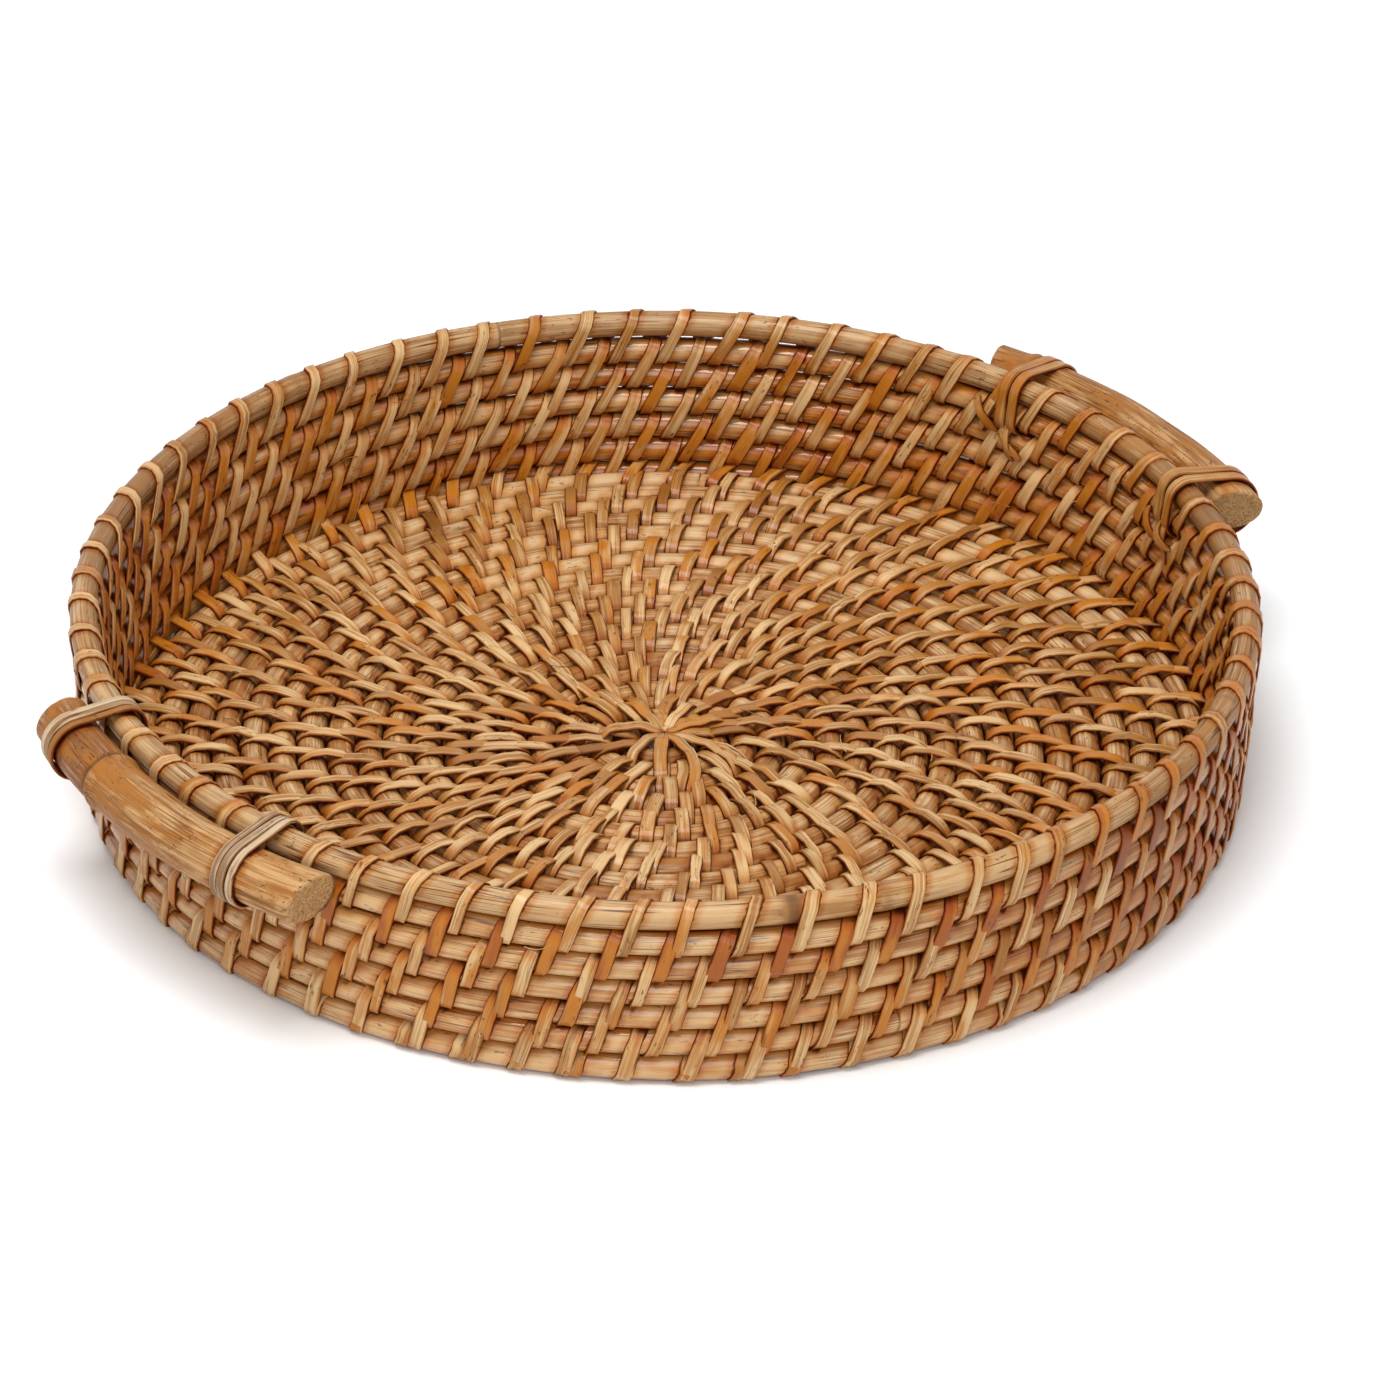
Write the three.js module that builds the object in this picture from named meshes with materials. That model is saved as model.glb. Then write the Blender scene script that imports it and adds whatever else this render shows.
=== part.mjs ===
// Round coiled rattan tray with two lashed pole handles. Millimetres, +Z up, resting on z = 0.
import * as THREE from 'three';

// ---- driving dimensions (mm) ----
const rimRadius = 200;          // centreline of the rim cane
const pitch = 10;               // centre to centre of neighbouring canes
const wallRows = 7;             // rim, then six rows down to the base
const wallLean = 3.5;           // degrees the wall leans outwards
const wallSides = 34;           // straight facets round each wall cane
const caneHalfWidth = 4.7;
const caneHalfHeight = 4.4;
const baseHalfWidth = 4.4;
const baseHalfHeight = 4.8;     // base cane together with the strip under it
const baseSteps = 24;           // facets per turn of the base spiral
const baseStartRadius = 8;
const baseEndRadius = 185.6;
const baseLengths = 6;          // spliced canes that make up the base spiral
const spliceGap = 0.5;          // daylight between two butted cane ends
const stitchCount = 68;         // binding loops round the rim
const bindingLengths = 4;       // spliced strips that make up the rim binding
const stripWidth = 5;
const stripThickness = 0.5;
const stripStand = 0.6;         // strip centre above the cane it lies on
const handleRadius = 9.8;
const handlePathRadius = 215.9;
const handleHeight = 59;
const handleSides = 12;
const handleSteps = 9;
const handleSpans = { front: [201.4, 238.6], back: [21.4, 56.6] };   // degrees round the rim
const lashingsAt = { front: [38, 43], back: [4, 9] };              // stitch number before each lashing
const wrapWidth = 4.7;
const wrapSpacing = 5.1;
const plugRadius = 3.1;

const lean = THREE.MathUtils.degToRad(wallLean);
const rowHeight = (row) => baseHalfHeight + 0.3 + (wallRows - row) * pitch * Math.cos(lean);
const rowRadius = (row) => rimRadius - (row - 1) * pitch * Math.sin(lean);

const tray = new THREE.Group();
tray.name = 'coiled_rattan_tray';

function material(color, roughness) {
  return new THREE.MeshStandardMaterial({ color, roughness, metalness: 0 });
}

function add(name, geometry, color, roughness = 0.5) {
  const mesh = new THREE.Mesh(geometry, material(color, roughness));
  mesh.name = name;
  tray.add(mesh);
  return mesh;
}

// A flat spiral or circle whose points are spread evenly by angle.
class Coil extends THREE.Curve {
  constructor(startAngle, sweep, startRadius, endRadius, height) {
    super();
    Object.assign(this, { startAngle, sweep, startRadius, endRadius, height });
  }

  getPoint(t) {
    const angle = this.startAngle + this.sweep * t;
    const radius = this.startRadius + (this.endRadius - this.startRadius) * t;
    return new THREE.Vector3(radius * Math.cos(angle), radius * Math.sin(angle), this.height);
  }

  getPointAt(t) { return this.getPoint(t); }

  getTangentAt(t) {
    const angle = this.startAngle + this.sweep * t;
    const direction = Math.sign(this.sweep);
    return new THREE.Vector3(-Math.sin(angle) * direction, Math.cos(angle) * direction, 0);
  }
}

// Six-sided cane section with flat top and bottom; x runs along the height.
function caneSection(halfWidth, halfHeight) {
  const flat = halfWidth * 0.55;
  return new THREE.Shape([
    [halfHeight, -flat], [halfHeight, flat], [0, halfWidth],
    [-halfHeight, flat], [-halfHeight, -flat], [0, -halfWidth],
  ].map(([x, y]) => new THREE.Vector2(x, y)));
}

function sweepCane(section, coil, steps) {
  return new THREE.ExtrudeGeometry(section, { steps, bevelEnabled: false, extrudePath: coil });
}

// A four-sided bar through path points. Each point carries its outward direction, the
// direction of its width and, where the bar tapers, its own width.
function stripGeometry(points, evenWidth, thickness) {
  const corners = [];
  points.forEach(({ at, out, across, width = evenWidth }) => {
    for (const [side, face] of [[-1, -1], [1, -1], [1, 1], [-1, 1]]) {
      corners.push(at.clone().addScaledVector(across, side * width / 2)
        .addScaledVector(out, face * thickness / 2));
    }
  });
  const positions = corners.flatMap((corner) => corner.toArray());
  const index = [];
  for (let i = 0; i + 1 < points.length; i++) {
    for (let k = 0; k < 4; k++) {
      const a = 4 * i + k;
      const b = 4 * i + (k + 1) % 4;
      index.push(a, b, b + 4, a, b + 4, a + 4);
    }
  }
  const last = 4 * (points.length - 1);
  index.push(0, 2, 1, 0, 3, 2, last, last + 1, last + 2, last, last + 2, last + 3);
  const geometry = new THREE.BufferGeometry();
  geometry.setAttribute('position', new THREE.Float32BufferAttribute(positions, 3));
  geometry.setIndex(index);
  geometry.computeVertexNormals();
  return geometry;
}

// ---- base: one flat spiral spliced from several canes ----
const turns = (baseEndRadius - baseStartRadius) / pitch;
const totalSteps = Math.round(turns * baseSteps);
const baseColors = [0xb98a56, 0xc2935c, 0xb58551, 0xbd8f5b, 0xc79a66, 0xb88a55];
for (let i = 0; i < baseLengths; i++) {
  const firstStep = Math.round(totalSteps * Math.sqrt(i / baseLengths));
  const lastStep = Math.round(totalSteps * Math.sqrt((i + 1) / baseLengths));
  const radiusAt = (step) => baseStartRadius + (baseEndRadius - baseStartRadius) * step / totalSteps;
  const stepAngle = -2 * Math.PI / baseSteps;
  const trim = i < baseLengths - 1 ? spliceGap / radiusAt(lastStep) : 0;
  const coil = new Coil(firstStep * stepAngle, (lastStep - firstStep) * stepAngle + trim,
    radiusAt(firstStep), radiusAt(lastStep), baseHalfHeight);
  add(`base_cane_${i + 1}`, sweepCane(caneSection(baseHalfWidth, baseHalfHeight), coil, lastStep - firstStep),
    baseColors[i]);
}

// The last cane thins out to nothing in the wedge between the spiral and the wall.
const taper = [];
const spiralEnd = -totalSteps * 2 * Math.PI / baseSteps;
const taperOutside = baseEndRadius + baseHalfWidth;
for (let step = 0; step <= 19; step++) {
  const angle = spiralEnd - (step + 0.02) * 2 * Math.PI / baseSteps;
  const inside = baseEndRadius - pitch + pitch * step / baseSteps + baseHalfWidth + 0.7;
  const radial = new THREE.Vector3(Math.cos(angle), Math.sin(angle), 0);
  taper.push({
    at: radial.clone().multiplyScalar((inside + taperOutside) / 2).setZ(baseHalfHeight),
    across: radial,
    out: new THREE.Vector3(0, 0, 1),
    width: taperOutside - inside,
  });
}
add('base_cane_end', stripGeometry(taper, 0, 2 * baseHalfHeight), 0xbb8c57);

// ---- centre: the curled tip of the first cane, and the strips that start from it ----
const plug = new THREE.CylinderGeometry(plugRadius, plugRadius, 2 * baseHalfHeight, 8);
plug.rotateX(Math.PI / 2).translate(0, 0, baseHalfHeight);
add('centre_tip', plug, 0xa87846);

const starArms = 8;
const starPoints = [];
for (let i = 0; i < starArms; i++) {
  const middle = i * 2 * Math.PI / starArms;
  const reach = i % 2 ? 15 : 19;
  for (const side of [-1, 1]) {
    starPoints.push(new THREE.Vector2(
      reach * Math.cos(middle) - side * 2.2 * Math.sin(middle),
      reach * Math.sin(middle) + side * 2.2 * Math.cos(middle)));
  }
  const between = middle + Math.PI / starArms;
  starPoints.push(new THREE.Vector2(5.9 * Math.cos(between), 5.9 * Math.sin(between)));
}
const star = new THREE.ExtrudeGeometry(new THREE.Shape(starPoints),
  { depth: stripThickness, bevelEnabled: false });
star.translate(0, 0, 2 * baseHalfHeight + 0.3);
add('centre_strips', star, 0xc99a5e, 0.42);

// ---- wall: rim and six rows, each a cane closed into a ring ----
const rowColors = [0xc8a06a, 0xbf9660, 0xb98f5a, 0xc39a63, 0xb88d58, 0xc0965f, 0xb58a56];
for (let row = 1; row <= wallRows; row++) {
  const start = row * 1.9;
  const step = 2 * Math.PI / wallSides;
  const startStep = Math.round(start / step);
  const radius = rowRadius(row);
  const coil = new Coil(startStep * step, 2 * Math.PI - spliceGap / radius, radius, radius, rowHeight(row));
  const name = row === 1 ? 'rim_cane' : `wall_cane_${row}`;
  add(name, sweepCane(caneSection(caneHalfWidth, caneHalfHeight), coil, wallSides), rowColors[row - 1]);
}

// Radius of a faceted ring at any angle, so strips follow the facets closely.
function ringRadius(radius, angle) {
  const step = 2 * Math.PI / wallSides;
  const within = ((angle % step) + step) % step;
  return radius * Math.cos(step / 2) / Math.cos(within - step / 2);
}

// ---- rim binding: one strip wound round the rim and the row below ----
// Each entry: share of a stitch travelled, row, offset outwards, offset upwards, outward direction.
const side = caneHalfWidth + stripStand;
const gapHalf = pitch / 2;
const stitchPath = [
  [0.06, 2, side, 0, 1, 0],
  [0.30, 1, side, 0, 1, 0.25],
  [0.38, 1, 3.0, caneHalfHeight + stripStand, 0.6, 1],
  [0.44, 1, -3.0, caneHalfHeight + stripStand, -0.6, 1],
  [0.52, 1, -side, 0, -1, 0.25],
  [0.84, 2, -side, 0, -1, -0.3],
  [0.93, 2, -3.2, -gapHalf, -0.45, -1],
  [1.00, 2, 3.2, -gapHalf, 0.45, -1],
];
const stitchAngle = 2 * Math.PI / stitchCount;
for (let length = 0; length < bindingLengths; length++) {
  const points = [];
  const count = stitchCount / bindingLengths;
  for (let stitch = length * count; stitch < (length + 1) * count; stitch++) {
    stitchPath.forEach(([share, row, outwards, upwards, normalOut, normalUp], k) => {
      if (stitch === (length + 1) * count - 1 && k === stitchPath.length - 1) return;
      const angle = (stitch + share) * stitchAngle;
      const radial = new THREE.Vector3(Math.cos(angle), Math.sin(angle), 0);
      const radius = ringRadius(rowRadius(row), angle) + outwards;
      const at = radial.clone().multiplyScalar(radius).setZ(rowHeight(row) + upwards);
      const out = radial.clone().multiplyScalar(normalOut).setZ(normalUp).normalize();
      const across = new THREE.Vector3(Math.sin(angle), -Math.cos(angle), 0);
      points.push({ at, out, across });
    });
  }
  add(`rim_binding_${length + 1}`, stripGeometry(points, stripWidth, stripThickness), 0xc59558, 0.4);
}

// ---- handles: thick canes curved along the outside of the rim ----
const degrees = THREE.MathUtils.degToRad;
for (const [name, [from, to]] of Object.entries(handleSpans)) {
  const corners = Array.from({ length: handleSides }, (_, i) => {
    const angle = 2 * Math.PI * i / handleSides;
    return new THREE.Vector2(handleRadius * Math.cos(angle), handleRadius * Math.sin(angle));
  });
  const coil = new Coil(degrees(from), degrees(to - from), handlePathRadius, handlePathRadius, handleHeight);
  add(`handle_${name}`, sweepCane(new THREE.Shape(corners), coil, handleSteps), 0xb5814c, 0.55);
}

// ---- lashings: two wraps of cane round handle, rim and second row, with a crossed tail inside ----
// Outline of a wrap seen along the rim: distance from the tray axis, height.
function wrapOutline(grow) {
  const outline = [];
  const gapHeight = (rowHeight(2) + rowHeight(3)) / 2;
  outline.push([191.9 - grow, gapHeight - grow], [206.4, gapHeight - grow]);
  for (let i = 0; i <= 8; i++) {
    const angle = degrees(-112 + i * 25);
    const radius = handleRadius + 0.65 + grow;
    outline.push([handlePathRadius + radius * Math.cos(angle), handleHeight + radius * Math.sin(angle)]);
  }
  const top = rowHeight(1) + caneHalfHeight + 1.7;
  outline.push([203.4, top + grow], [196.4, top + grow], [191.9 - grow, rowHeight(1) + 1.6 + grow]);
  return outline.map(([x, y]) => new THREE.Vector2(x, y));
}

function placeAtAngle(geometry, angle, along) {
  const radial = new THREE.Vector3(Math.cos(angle), Math.sin(angle), 0);
  const up = new THREE.Vector3(0, 0, 1);
  const tangent = new THREE.Vector3().crossVectors(radial, up);
  const frame = new THREE.Matrix4().makeBasis(radial, up, tangent);
  frame.setPosition(tangent.clone().multiplyScalar(along));
  return geometry.applyMatrix4(frame);
}

for (const [name, stitches] of Object.entries(lashingsAt)) {
  stitches.forEach((stitch, i) => {
    const angle = (stitch + 0.495) * stitchAngle;
    const lashing = `lashing_${name}_${i + 1}`;
    const color = name === 'front' ? 0xa9967a : 0xb3763b;
    for (const wrap of [0, 1]) {
      const shape = new THREE.Shape(wrapOutline(stripThickness / 2));
      shape.holes.push(new THREE.Path(wrapOutline(-stripThickness / 2)));
      const ring = new THREE.ExtrudeGeometry(shape, { depth: wrapWidth, bevelEnabled: false });
      const along = (wrap - 0.5) * wrapSpacing - wrapWidth / 2;
      add(`${lashing}_wrap_${wrap + 1}`, placeAtAngle(ring, angle, along), color);
    }
    const tail = new THREE.BoxGeometry(1.2, 15, 4.6);
    tail.rotateX(1.0).translate(190.5, rowHeight(2), 0);
    add(`${lashing}_tail`, placeAtAngle(tail, angle, 0), color);
  });
}

export default tray;
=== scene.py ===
import math
import bpy
import bmesh
import numpy as np
from mathutils import Matrix, Vector
from mathutils.kdtree import KDTree


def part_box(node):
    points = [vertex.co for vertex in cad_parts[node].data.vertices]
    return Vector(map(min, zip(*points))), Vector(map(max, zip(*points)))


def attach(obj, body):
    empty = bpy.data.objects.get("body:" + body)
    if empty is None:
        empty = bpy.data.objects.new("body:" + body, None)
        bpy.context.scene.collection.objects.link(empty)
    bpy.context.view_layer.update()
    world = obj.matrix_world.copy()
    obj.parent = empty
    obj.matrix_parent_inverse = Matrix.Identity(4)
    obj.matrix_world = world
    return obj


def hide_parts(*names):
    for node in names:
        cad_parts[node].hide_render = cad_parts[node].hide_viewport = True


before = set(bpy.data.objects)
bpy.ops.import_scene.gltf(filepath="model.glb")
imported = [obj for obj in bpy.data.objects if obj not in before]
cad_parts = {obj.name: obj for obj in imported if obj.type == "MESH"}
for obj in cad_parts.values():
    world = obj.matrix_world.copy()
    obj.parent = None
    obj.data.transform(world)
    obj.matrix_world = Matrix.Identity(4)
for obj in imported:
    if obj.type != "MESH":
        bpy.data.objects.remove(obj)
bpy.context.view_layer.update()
print("frame loaded")

tray = {
    "caneRadius": 0.00445,      # core cane of the base, which is pressed a little flat
    "caneHalfWidth": 0.0048,
    "rowRadius": [0.0047, 0.0047, 0.00472, 0.00475, 0.0048, 0.00485, 0.00485],   # rim first, then down the wall
    "stripGap": 0.00005,        # daylight between a strip and the cane under it
    "stripThickness": 0.00078,
    "slack": 0.0009, "slackAngle": 1.42, "slackWidth": 0.32,      # rim and second row gape a little on the far side
    "baseWander": (0.00014, 0.00007),             # how far a base cane strays from its line, sideways and up
    "wallWander": (0.00028, 0.00016, 0.00008),    # the same for a wall cane; the last is for the lowest row
    "wallRows": 7,
    "wallLean": 3.5,            # degrees
    "seed": 7,
}
random = np.random.default_rng(tray["seed"])


def middle(node):
    low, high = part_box(node)
    return (low + high) / 2, high - low


# Where the canes run, read from the frame
rimMiddle, rimSize = middle("rim_cane")
lowMiddle, lowSize = middle("wall_cane_7")
rimRadius = rimSize.x / 2 - tray["rowRadius"][0]
lowRadius = lowSize.x / 2 - tray["rowRadius"][0]
rimHeight = rimMiddle.z
lowHeight = lowMiddle.z
pitch = (rimHeight - lowHeight) / (tray["wallRows"] - 1) / math.cos(math.radians(tray["wallLean"]))
spiral = {
    "start": 0.008, "end": 0.1856,              # radius of the first and last turn
    "taperTurns": 0.79,                         # the thinned-out end goes on for this many turns
    "taperGap": 0.0004, "taperThinnest": 0.0006,
    "firstStitch": 8.4,                         # radians wound before the first stitch, where the star lies
}
spiralTurns = (spiral["end"] - spiral["start"]) / pitch
spiralHeight = tray["caneRadius"] + tray["stripGap"] + tray["stripThickness"]
spiralReach = spiralTurns * 2 * math.pi
taperReach = spiral["taperTurns"] * 2 * math.pi


def waver(angle, seed, amount):
    return amount * (np.sin(2 * angle + seed) + 0.7 * np.sin(5 * angle + 2.3 * seed)
                     + 0.5 * np.sin(11 * angle + 4.1 * seed))


# Centre of the base cane after it has been wound through an angle: distance from the axis, height, half width
def spiralCane(wound):
    grow = pitch / (2 * math.pi)
    sideways, upwards = tray["baseWander"]
    onSpiral = spiral["start"] + grow * wound
    inside = spiral["end"] - pitch + grow * (wound - spiralReach) + tray["caneHalfWidth"] + spiral["taperGap"]
    outside = spiral["end"] + tray["caneRadius"]
    tapering = wound > spiralReach
    radius = np.where(tapering, (inside + outside) / 2, onSpiral) + waver(wound * 0.731, 1.3, sideways)
    half = np.clip((outside - inside) / 2, spiral["taperThinnest"], tray["caneHalfWidth"])
    half = np.where(tapering, half, tray["caneHalfWidth"])
    height = spiralHeight + waver(wound * 0.61, 4.0, upwards)
    return radius, height, half


# The same for a wall cane, counted from the rim down
def wallCane(row, angle):
    share = (row - 1) / (tray["wallRows"] - 1)
    sideways, upwards, lowest = tray["wallWander"]
    radius = rimRadius + (lowRadius - rimRadius) * share + waver(angle, row * 1.7, sideways)
    height = rimHeight + (lowHeight - rimHeight) * share
    height = height + waver(angle, row * 2.9 + 1, np.where(share < 1, upwards, lowest))
    far = np.mod(angle, 2 * math.pi) - tray["slackAngle"]
    slack = np.exp(-(far / tray["slackWidth"]) ** 2) * np.clip(1 - (row - 1.0), -0.5, 1)
    return radius, height + tray["slack"] * slack


def ringPoints(radius, angle, height):
    return np.stack([radius * np.cos(angle), radius * np.sin(angle), np.broadcast_to(height, angle.shape)], axis=1)


def woundLength(path):
    return np.concatenate(([0], np.cumsum(np.linalg.norm(np.diff(path, axis=0), axis=1))))


def smoothStep(value, low, high):
    share = np.clip((value - low) / (high - low), 0, 1)
    return share * share * (3 - 2 * share)


def finish(name, mesh, slotName, material, *nodes):
    mesh.name = name
    piece = bpy.data.objects.new(name, mesh)
    bpy.context.scene.collection.objects.link(piece)
    mesh.materials.append(material)
    mesh.polygons.foreach_set("use_smooth", np.ones(len(mesh.polygons), dtype=bool))
    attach(piece, "root")
    if nodes:
        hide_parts(*nodes)


def paint(mesh, name, kind, values):
    layer = mesh.attributes.new(name, kind, "POINT")
    field = "vector" if kind == "FLOAT_VECTOR" else "value"
    layer.data.foreach_set(field, np.ascontiguousarray(values, dtype=np.float32).ravel())


def newGroup(name, inputs, outputs):
    group = bpy.data.node_groups.new(name, "ShaderNodeTree")
    for label, kind in inputs:
        group.interface.new_socket(label, in_out="INPUT", socket_type=kind)
    for label, kind in outputs:
        group.interface.new_socket(label, in_out="OUTPUT", socket_type=kind)
    return group, group.nodes.new("NodeGroupInput"), group.nodes.new("NodeGroupOutput")


def mathNode(nodes, links, operation, a, b=None, c=None, clamp=False):
    node = nodes.new("ShaderNodeMath")
    node.operation = operation
    node.use_clamp = clamp
    for socket, value in zip(node.inputs, (a, b, c)):
        if value is None:
            continue
        if isinstance(value, (int, float)):
            socket.default_value = value
        else:
            links.new(value, socket)
    return node.outputs[0]


def rangeNode(nodes, links, value, fromLow, fromHigh, toLow=0.0, toHigh=1.0):
    node = nodes.new("ShaderNodeMapRange")
    node.interpolation_type = "SMOOTHSTEP"
    links.new(value, node.inputs["Value"])
    node.inputs["From Min"].default_value = fromLow
    node.inputs["From Max"].default_value = fromHigh
    node.inputs["To Min"].default_value = toLow
    node.inputs["To Max"].default_value = toHigh
    return node.outputs["Result"]


def stretchNode(nodes, links, vector, scale):
    node = nodes.new("ShaderNodeVectorMath")
    node.operation = "MULTIPLY"
    links.new(vector, node.inputs[0])
    node.inputs[1].default_value = scale
    return node.outputs["Vector"]


def noiseNode(nodes, links, vector, detail, roughness):
    node = nodes.new("ShaderNodeTexNoise")
    links.new(vector, node.inputs["Vector"])
    node.inputs["Scale"].default_value = 1.0
    node.inputs["Detail"].default_value = detail
    node.inputs["Roughness"].default_value = roughness
    return node.outputs["Fac"]


def mixNode(nodes, links, factor, a, b, blend="MIX"):
    node = nodes.new("ShaderNodeMix")
    node.data_type = "RGBA"
    node.blend_type = blend
    for socket, value in ((node.inputs["Factor"], factor), (node.inputs["A"], a), (node.inputs["B"], b)):
        if isinstance(value, (int, float)):
            socket.default_value = value
        elif isinstance(value, tuple):
            socket.default_value = (*value, 1)
        else:
            links.new(value, socket)
    return node.outputs["Result"]


# Long fibres, small dark flecks, hairline splits and slow blotches along a cane
def buildFibreGroup():
    group, entry, leave = newGroup(
        "cane fibre",
        [("Place", "NodeSocketVector"), ("Fleck Amount", "NodeSocketFloat"), ("Split Amount", "NodeSocketFloat")],
        [("Streak", "NodeSocketFloat"), ("Fleck", "NodeSocketFloat"), ("Split", "NodeSocketFloat"),
         ("Blotch", "NodeSocketFloat"), ("Height", "NodeSocketFloat")])
    nodes, links = group.nodes, group.links
    place = entry.outputs["Place"]
    fine = noiseNode(nodes, links, stretchNode(nodes, links, place, (34, 1700, 1700)), 3.0, 0.6)
    coarse = noiseNode(nodes, links, stretchNode(nodes, links, place, (17, 620, 620)), 3.0, 0.6)
    both = mathNode(nodes, links, "MULTIPLY_ADD", fine, 0.45, mathNode(nodes, links, "MULTIPLY", coarse, 0.55))
    links.new(rangeNode(nodes, links, both, 0.41, 0.59), leave.inputs["Streak"])
    fleckNoise = noiseNode(nodes, links, stretchNode(nodes, links, place, (330, 1050, 1050)), 2.0, 0.6)
    fleckPatch = noiseNode(nodes, links, stretchNode(nodes, links, place, (60, 120, 120)), 1.0, 0.5)
    fleck = mathNode(nodes, links, "MULTIPLY", rangeNode(nodes, links, fleckNoise, 0.6, 0.68),
                     rangeNode(nodes, links, fleckPatch, 0.48, 0.62))
    links.new(mathNode(nodes, links, "MULTIPLY", fleck, entry.outputs["Fleck Amount"], clamp=True),
              leave.inputs["Fleck"])
    splitNoise = noiseNode(nodes, links, stretchNode(nodes, links, place, (11, 560, 560)), 1.0, 0.4)
    line = mathNode(nodes, links, "ABSOLUTE", mathNode(nodes, links, "SUBTRACT", splitNoise, 0.56))
    thin = rangeNode(nodes, links, line, 0.0, 0.03, 1.0, 0.0)
    splitPatch = noiseNode(nodes, links, stretchNode(nodes, links, place, (26, 70, 70)), 1.0, 0.5)
    split = mathNode(nodes, links, "MULTIPLY", thin, rangeNode(nodes, links, splitPatch, 0.46, 0.56))
    split = mathNode(nodes, links, "MULTIPLY", split, entry.outputs["Split Amount"], clamp=True)
    links.new(split, leave.inputs["Split"])
    blotch = noiseNode(nodes, links, stretchNode(nodes, links, place, (38, 150, 150)), 3.0, 0.55)
    links.new(rangeNode(nodes, links, blotch, 0.36, 0.64), leave.inputs["Blotch"])
    height = mathNode(nodes, links, "SUBTRACT", both, mathNode(nodes, links, "MULTIPLY", split, 0.6))
    links.new(mathNode(nodes, links, "SUBTRACT", height, mathNode(nodes, links, "MULTIPLY", fleck, 0.25)),
              leave.inputs["Height"])
    return group


# Honey colour of cane from its own shade and warmth, the fibre masks, and painted shade with varnish stain in the
# crevices and along the edges of strips
def buildHoneyGroup():
    group, entry, leave = newGroup(
        "honey colour",
        [("Shade", "NodeSocketFloat"), ("Warmth", "NodeSocketFloat"), ("Crevice", "NodeSocketFloat"),
         ("Edge", "NodeSocketFloat"), ("Streak", "NodeSocketFloat"), ("Fleck", "NodeSocketFloat"),
         ("Split", "NodeSocketFloat"), ("Blotch", "NodeSocketFloat"), ("Pale", "NodeSocketColor"),
         ("Deep", "NodeSocketColor"), ("Warm", "NodeSocketColor"), ("Rust", "NodeSocketColor"),
         ("Dark", "NodeSocketColor"), ("Flank_Stain_And_Shade", "NodeSocketColor"), ("Pit", "NodeSocketColor")],
        [("Color", "NodeSocketColor"), ("StainAndShade", "NodeSocketFloat")])
    nodes, links = group.nodes, group.links
    e = entry.outputs
    depth = mathNode(nodes, links, "MULTIPLY_ADD", e["Blotch"], 0.42, e["Shade"])
    depth = mathNode(nodes, links, "MULTIPLY_ADD", e["Streak"], -0.9, mathNode(nodes, links, "ADD", depth, 0.32),
                     clamp=True)
    honey = mixNode(nodes, links, depth, e["Pale"], e["Deep"])
    patchy = mathNode(nodes, links, "MULTIPLY_ADD", e["Blotch"], 0.5, e["Warmth"])
    honey = mixNode(nodes, links, rangeNode(nodes, links, patchy, 0.25, 0.95), honey, e["Warm"])
    honey = mixNode(nodes, links, rangeNode(nodes, links, patchy, 0.85, 1.3, 0.0, 0.85), honey, e["Rust"])
    honey = mixNode(nodes, links, rangeNode(nodes, links, e["Shade"], 1.0, 1.9, 0.0, 0.6), honey, e["Dark"])
    honey = mixNode(nodes, links, mathNode(nodes, links, "MULTIPLY", e["Fleck"], 0.8), honey, e["Dark"])
    honey = mixNode(nodes, links, mathNode(nodes, links, "MULTIPLY", e["Split"], 0.85), honey, e["Dark"])
    # Painted shade and varnish stain: a darker, redder tint beside crevices and strip edges, and the pit colour in
    # them
    uneven = mathNode(nodes, links, "MULTIPLY_ADD", e["Blotch"], 0.35, 0.8)
    edged = mathNode(nodes, links, "ADD", e["Crevice"], rangeNode(nodes, links, e["Edge"], 0.4, 1.0, 0.0, 0.4))
    stainAndShade = mathNode(nodes, links, "MULTIPLY", edged, uneven, clamp=True)
    honey = mixNode(nodes, links, rangeNode(nodes, links, stainAndShade, 0.0, 0.5), honey, e["Flank_Stain_And_Shade"], "MULTIPLY")
    honey = mixNode(nodes, links, rangeNode(nodes, links, stainAndShade, 0.5, 1.0, 0.0, 0.97), honey, e["Pit"])
    links.new(honey, leave.inputs["Color"])
    links.new(stainAndShade, leave.inputs["StainAndShade"])
    return group


# Sawn end: pale, with small open pores
def buildSawnGroup():
    group, entry, leave = newGroup(
        "sawn end", [("Place", "NodeSocketVector"), ("Mask", "NodeSocketFloat"), ("Side", "NodeSocketColor"),
                     ("Face", "NodeSocketColor"), ("Pore", "NodeSocketColor")],
        [("Color", "NodeSocketColor"), ("Height", "NodeSocketFloat")])
    nodes, links = group.nodes, group.links
    e = entry.outputs
    pores = noiseNode(nodes, links, stretchNode(nodes, links, e["Place"], (200, 1150, 1150)), 2.0, 0.6)
    pore = rangeNode(nodes, links, pores, 0.54, 0.64)
    cloud = noiseNode(nodes, links, stretchNode(nodes, links, e["Place"], (60, 260, 260)), 3.0, 0.6)
    face = mixNode(nodes, links, rangeNode(nodes, links, cloud, 0.42, 0.62, 0.0, 0.35), e["Face"], e["Pore"])
    face = mixNode(nodes, links, mathNode(nodes, links, "MULTIPLY", pore, 0.7), face, e["Pore"])
    links.new(mixNode(nodes, links, e["Mask"], e["Side"], face), leave.inputs["Color"])
    links.new(mathNode(nodes, links, "MULTIPLY", mathNode(nodes, links, "SUBTRACT", cloud, pore), e["Mask"]),
              leave.inputs["Height"])
    return group


fibreGroup = buildFibreGroup()
honeyGroup = buildHoneyGroup()
sawnGroup = buildSawnGroup()
print("shared effects built")


def attribute(nodes, name):
    node = nodes.new("ShaderNodeAttribute")
    node.attribute_name = name
    return node


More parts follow.
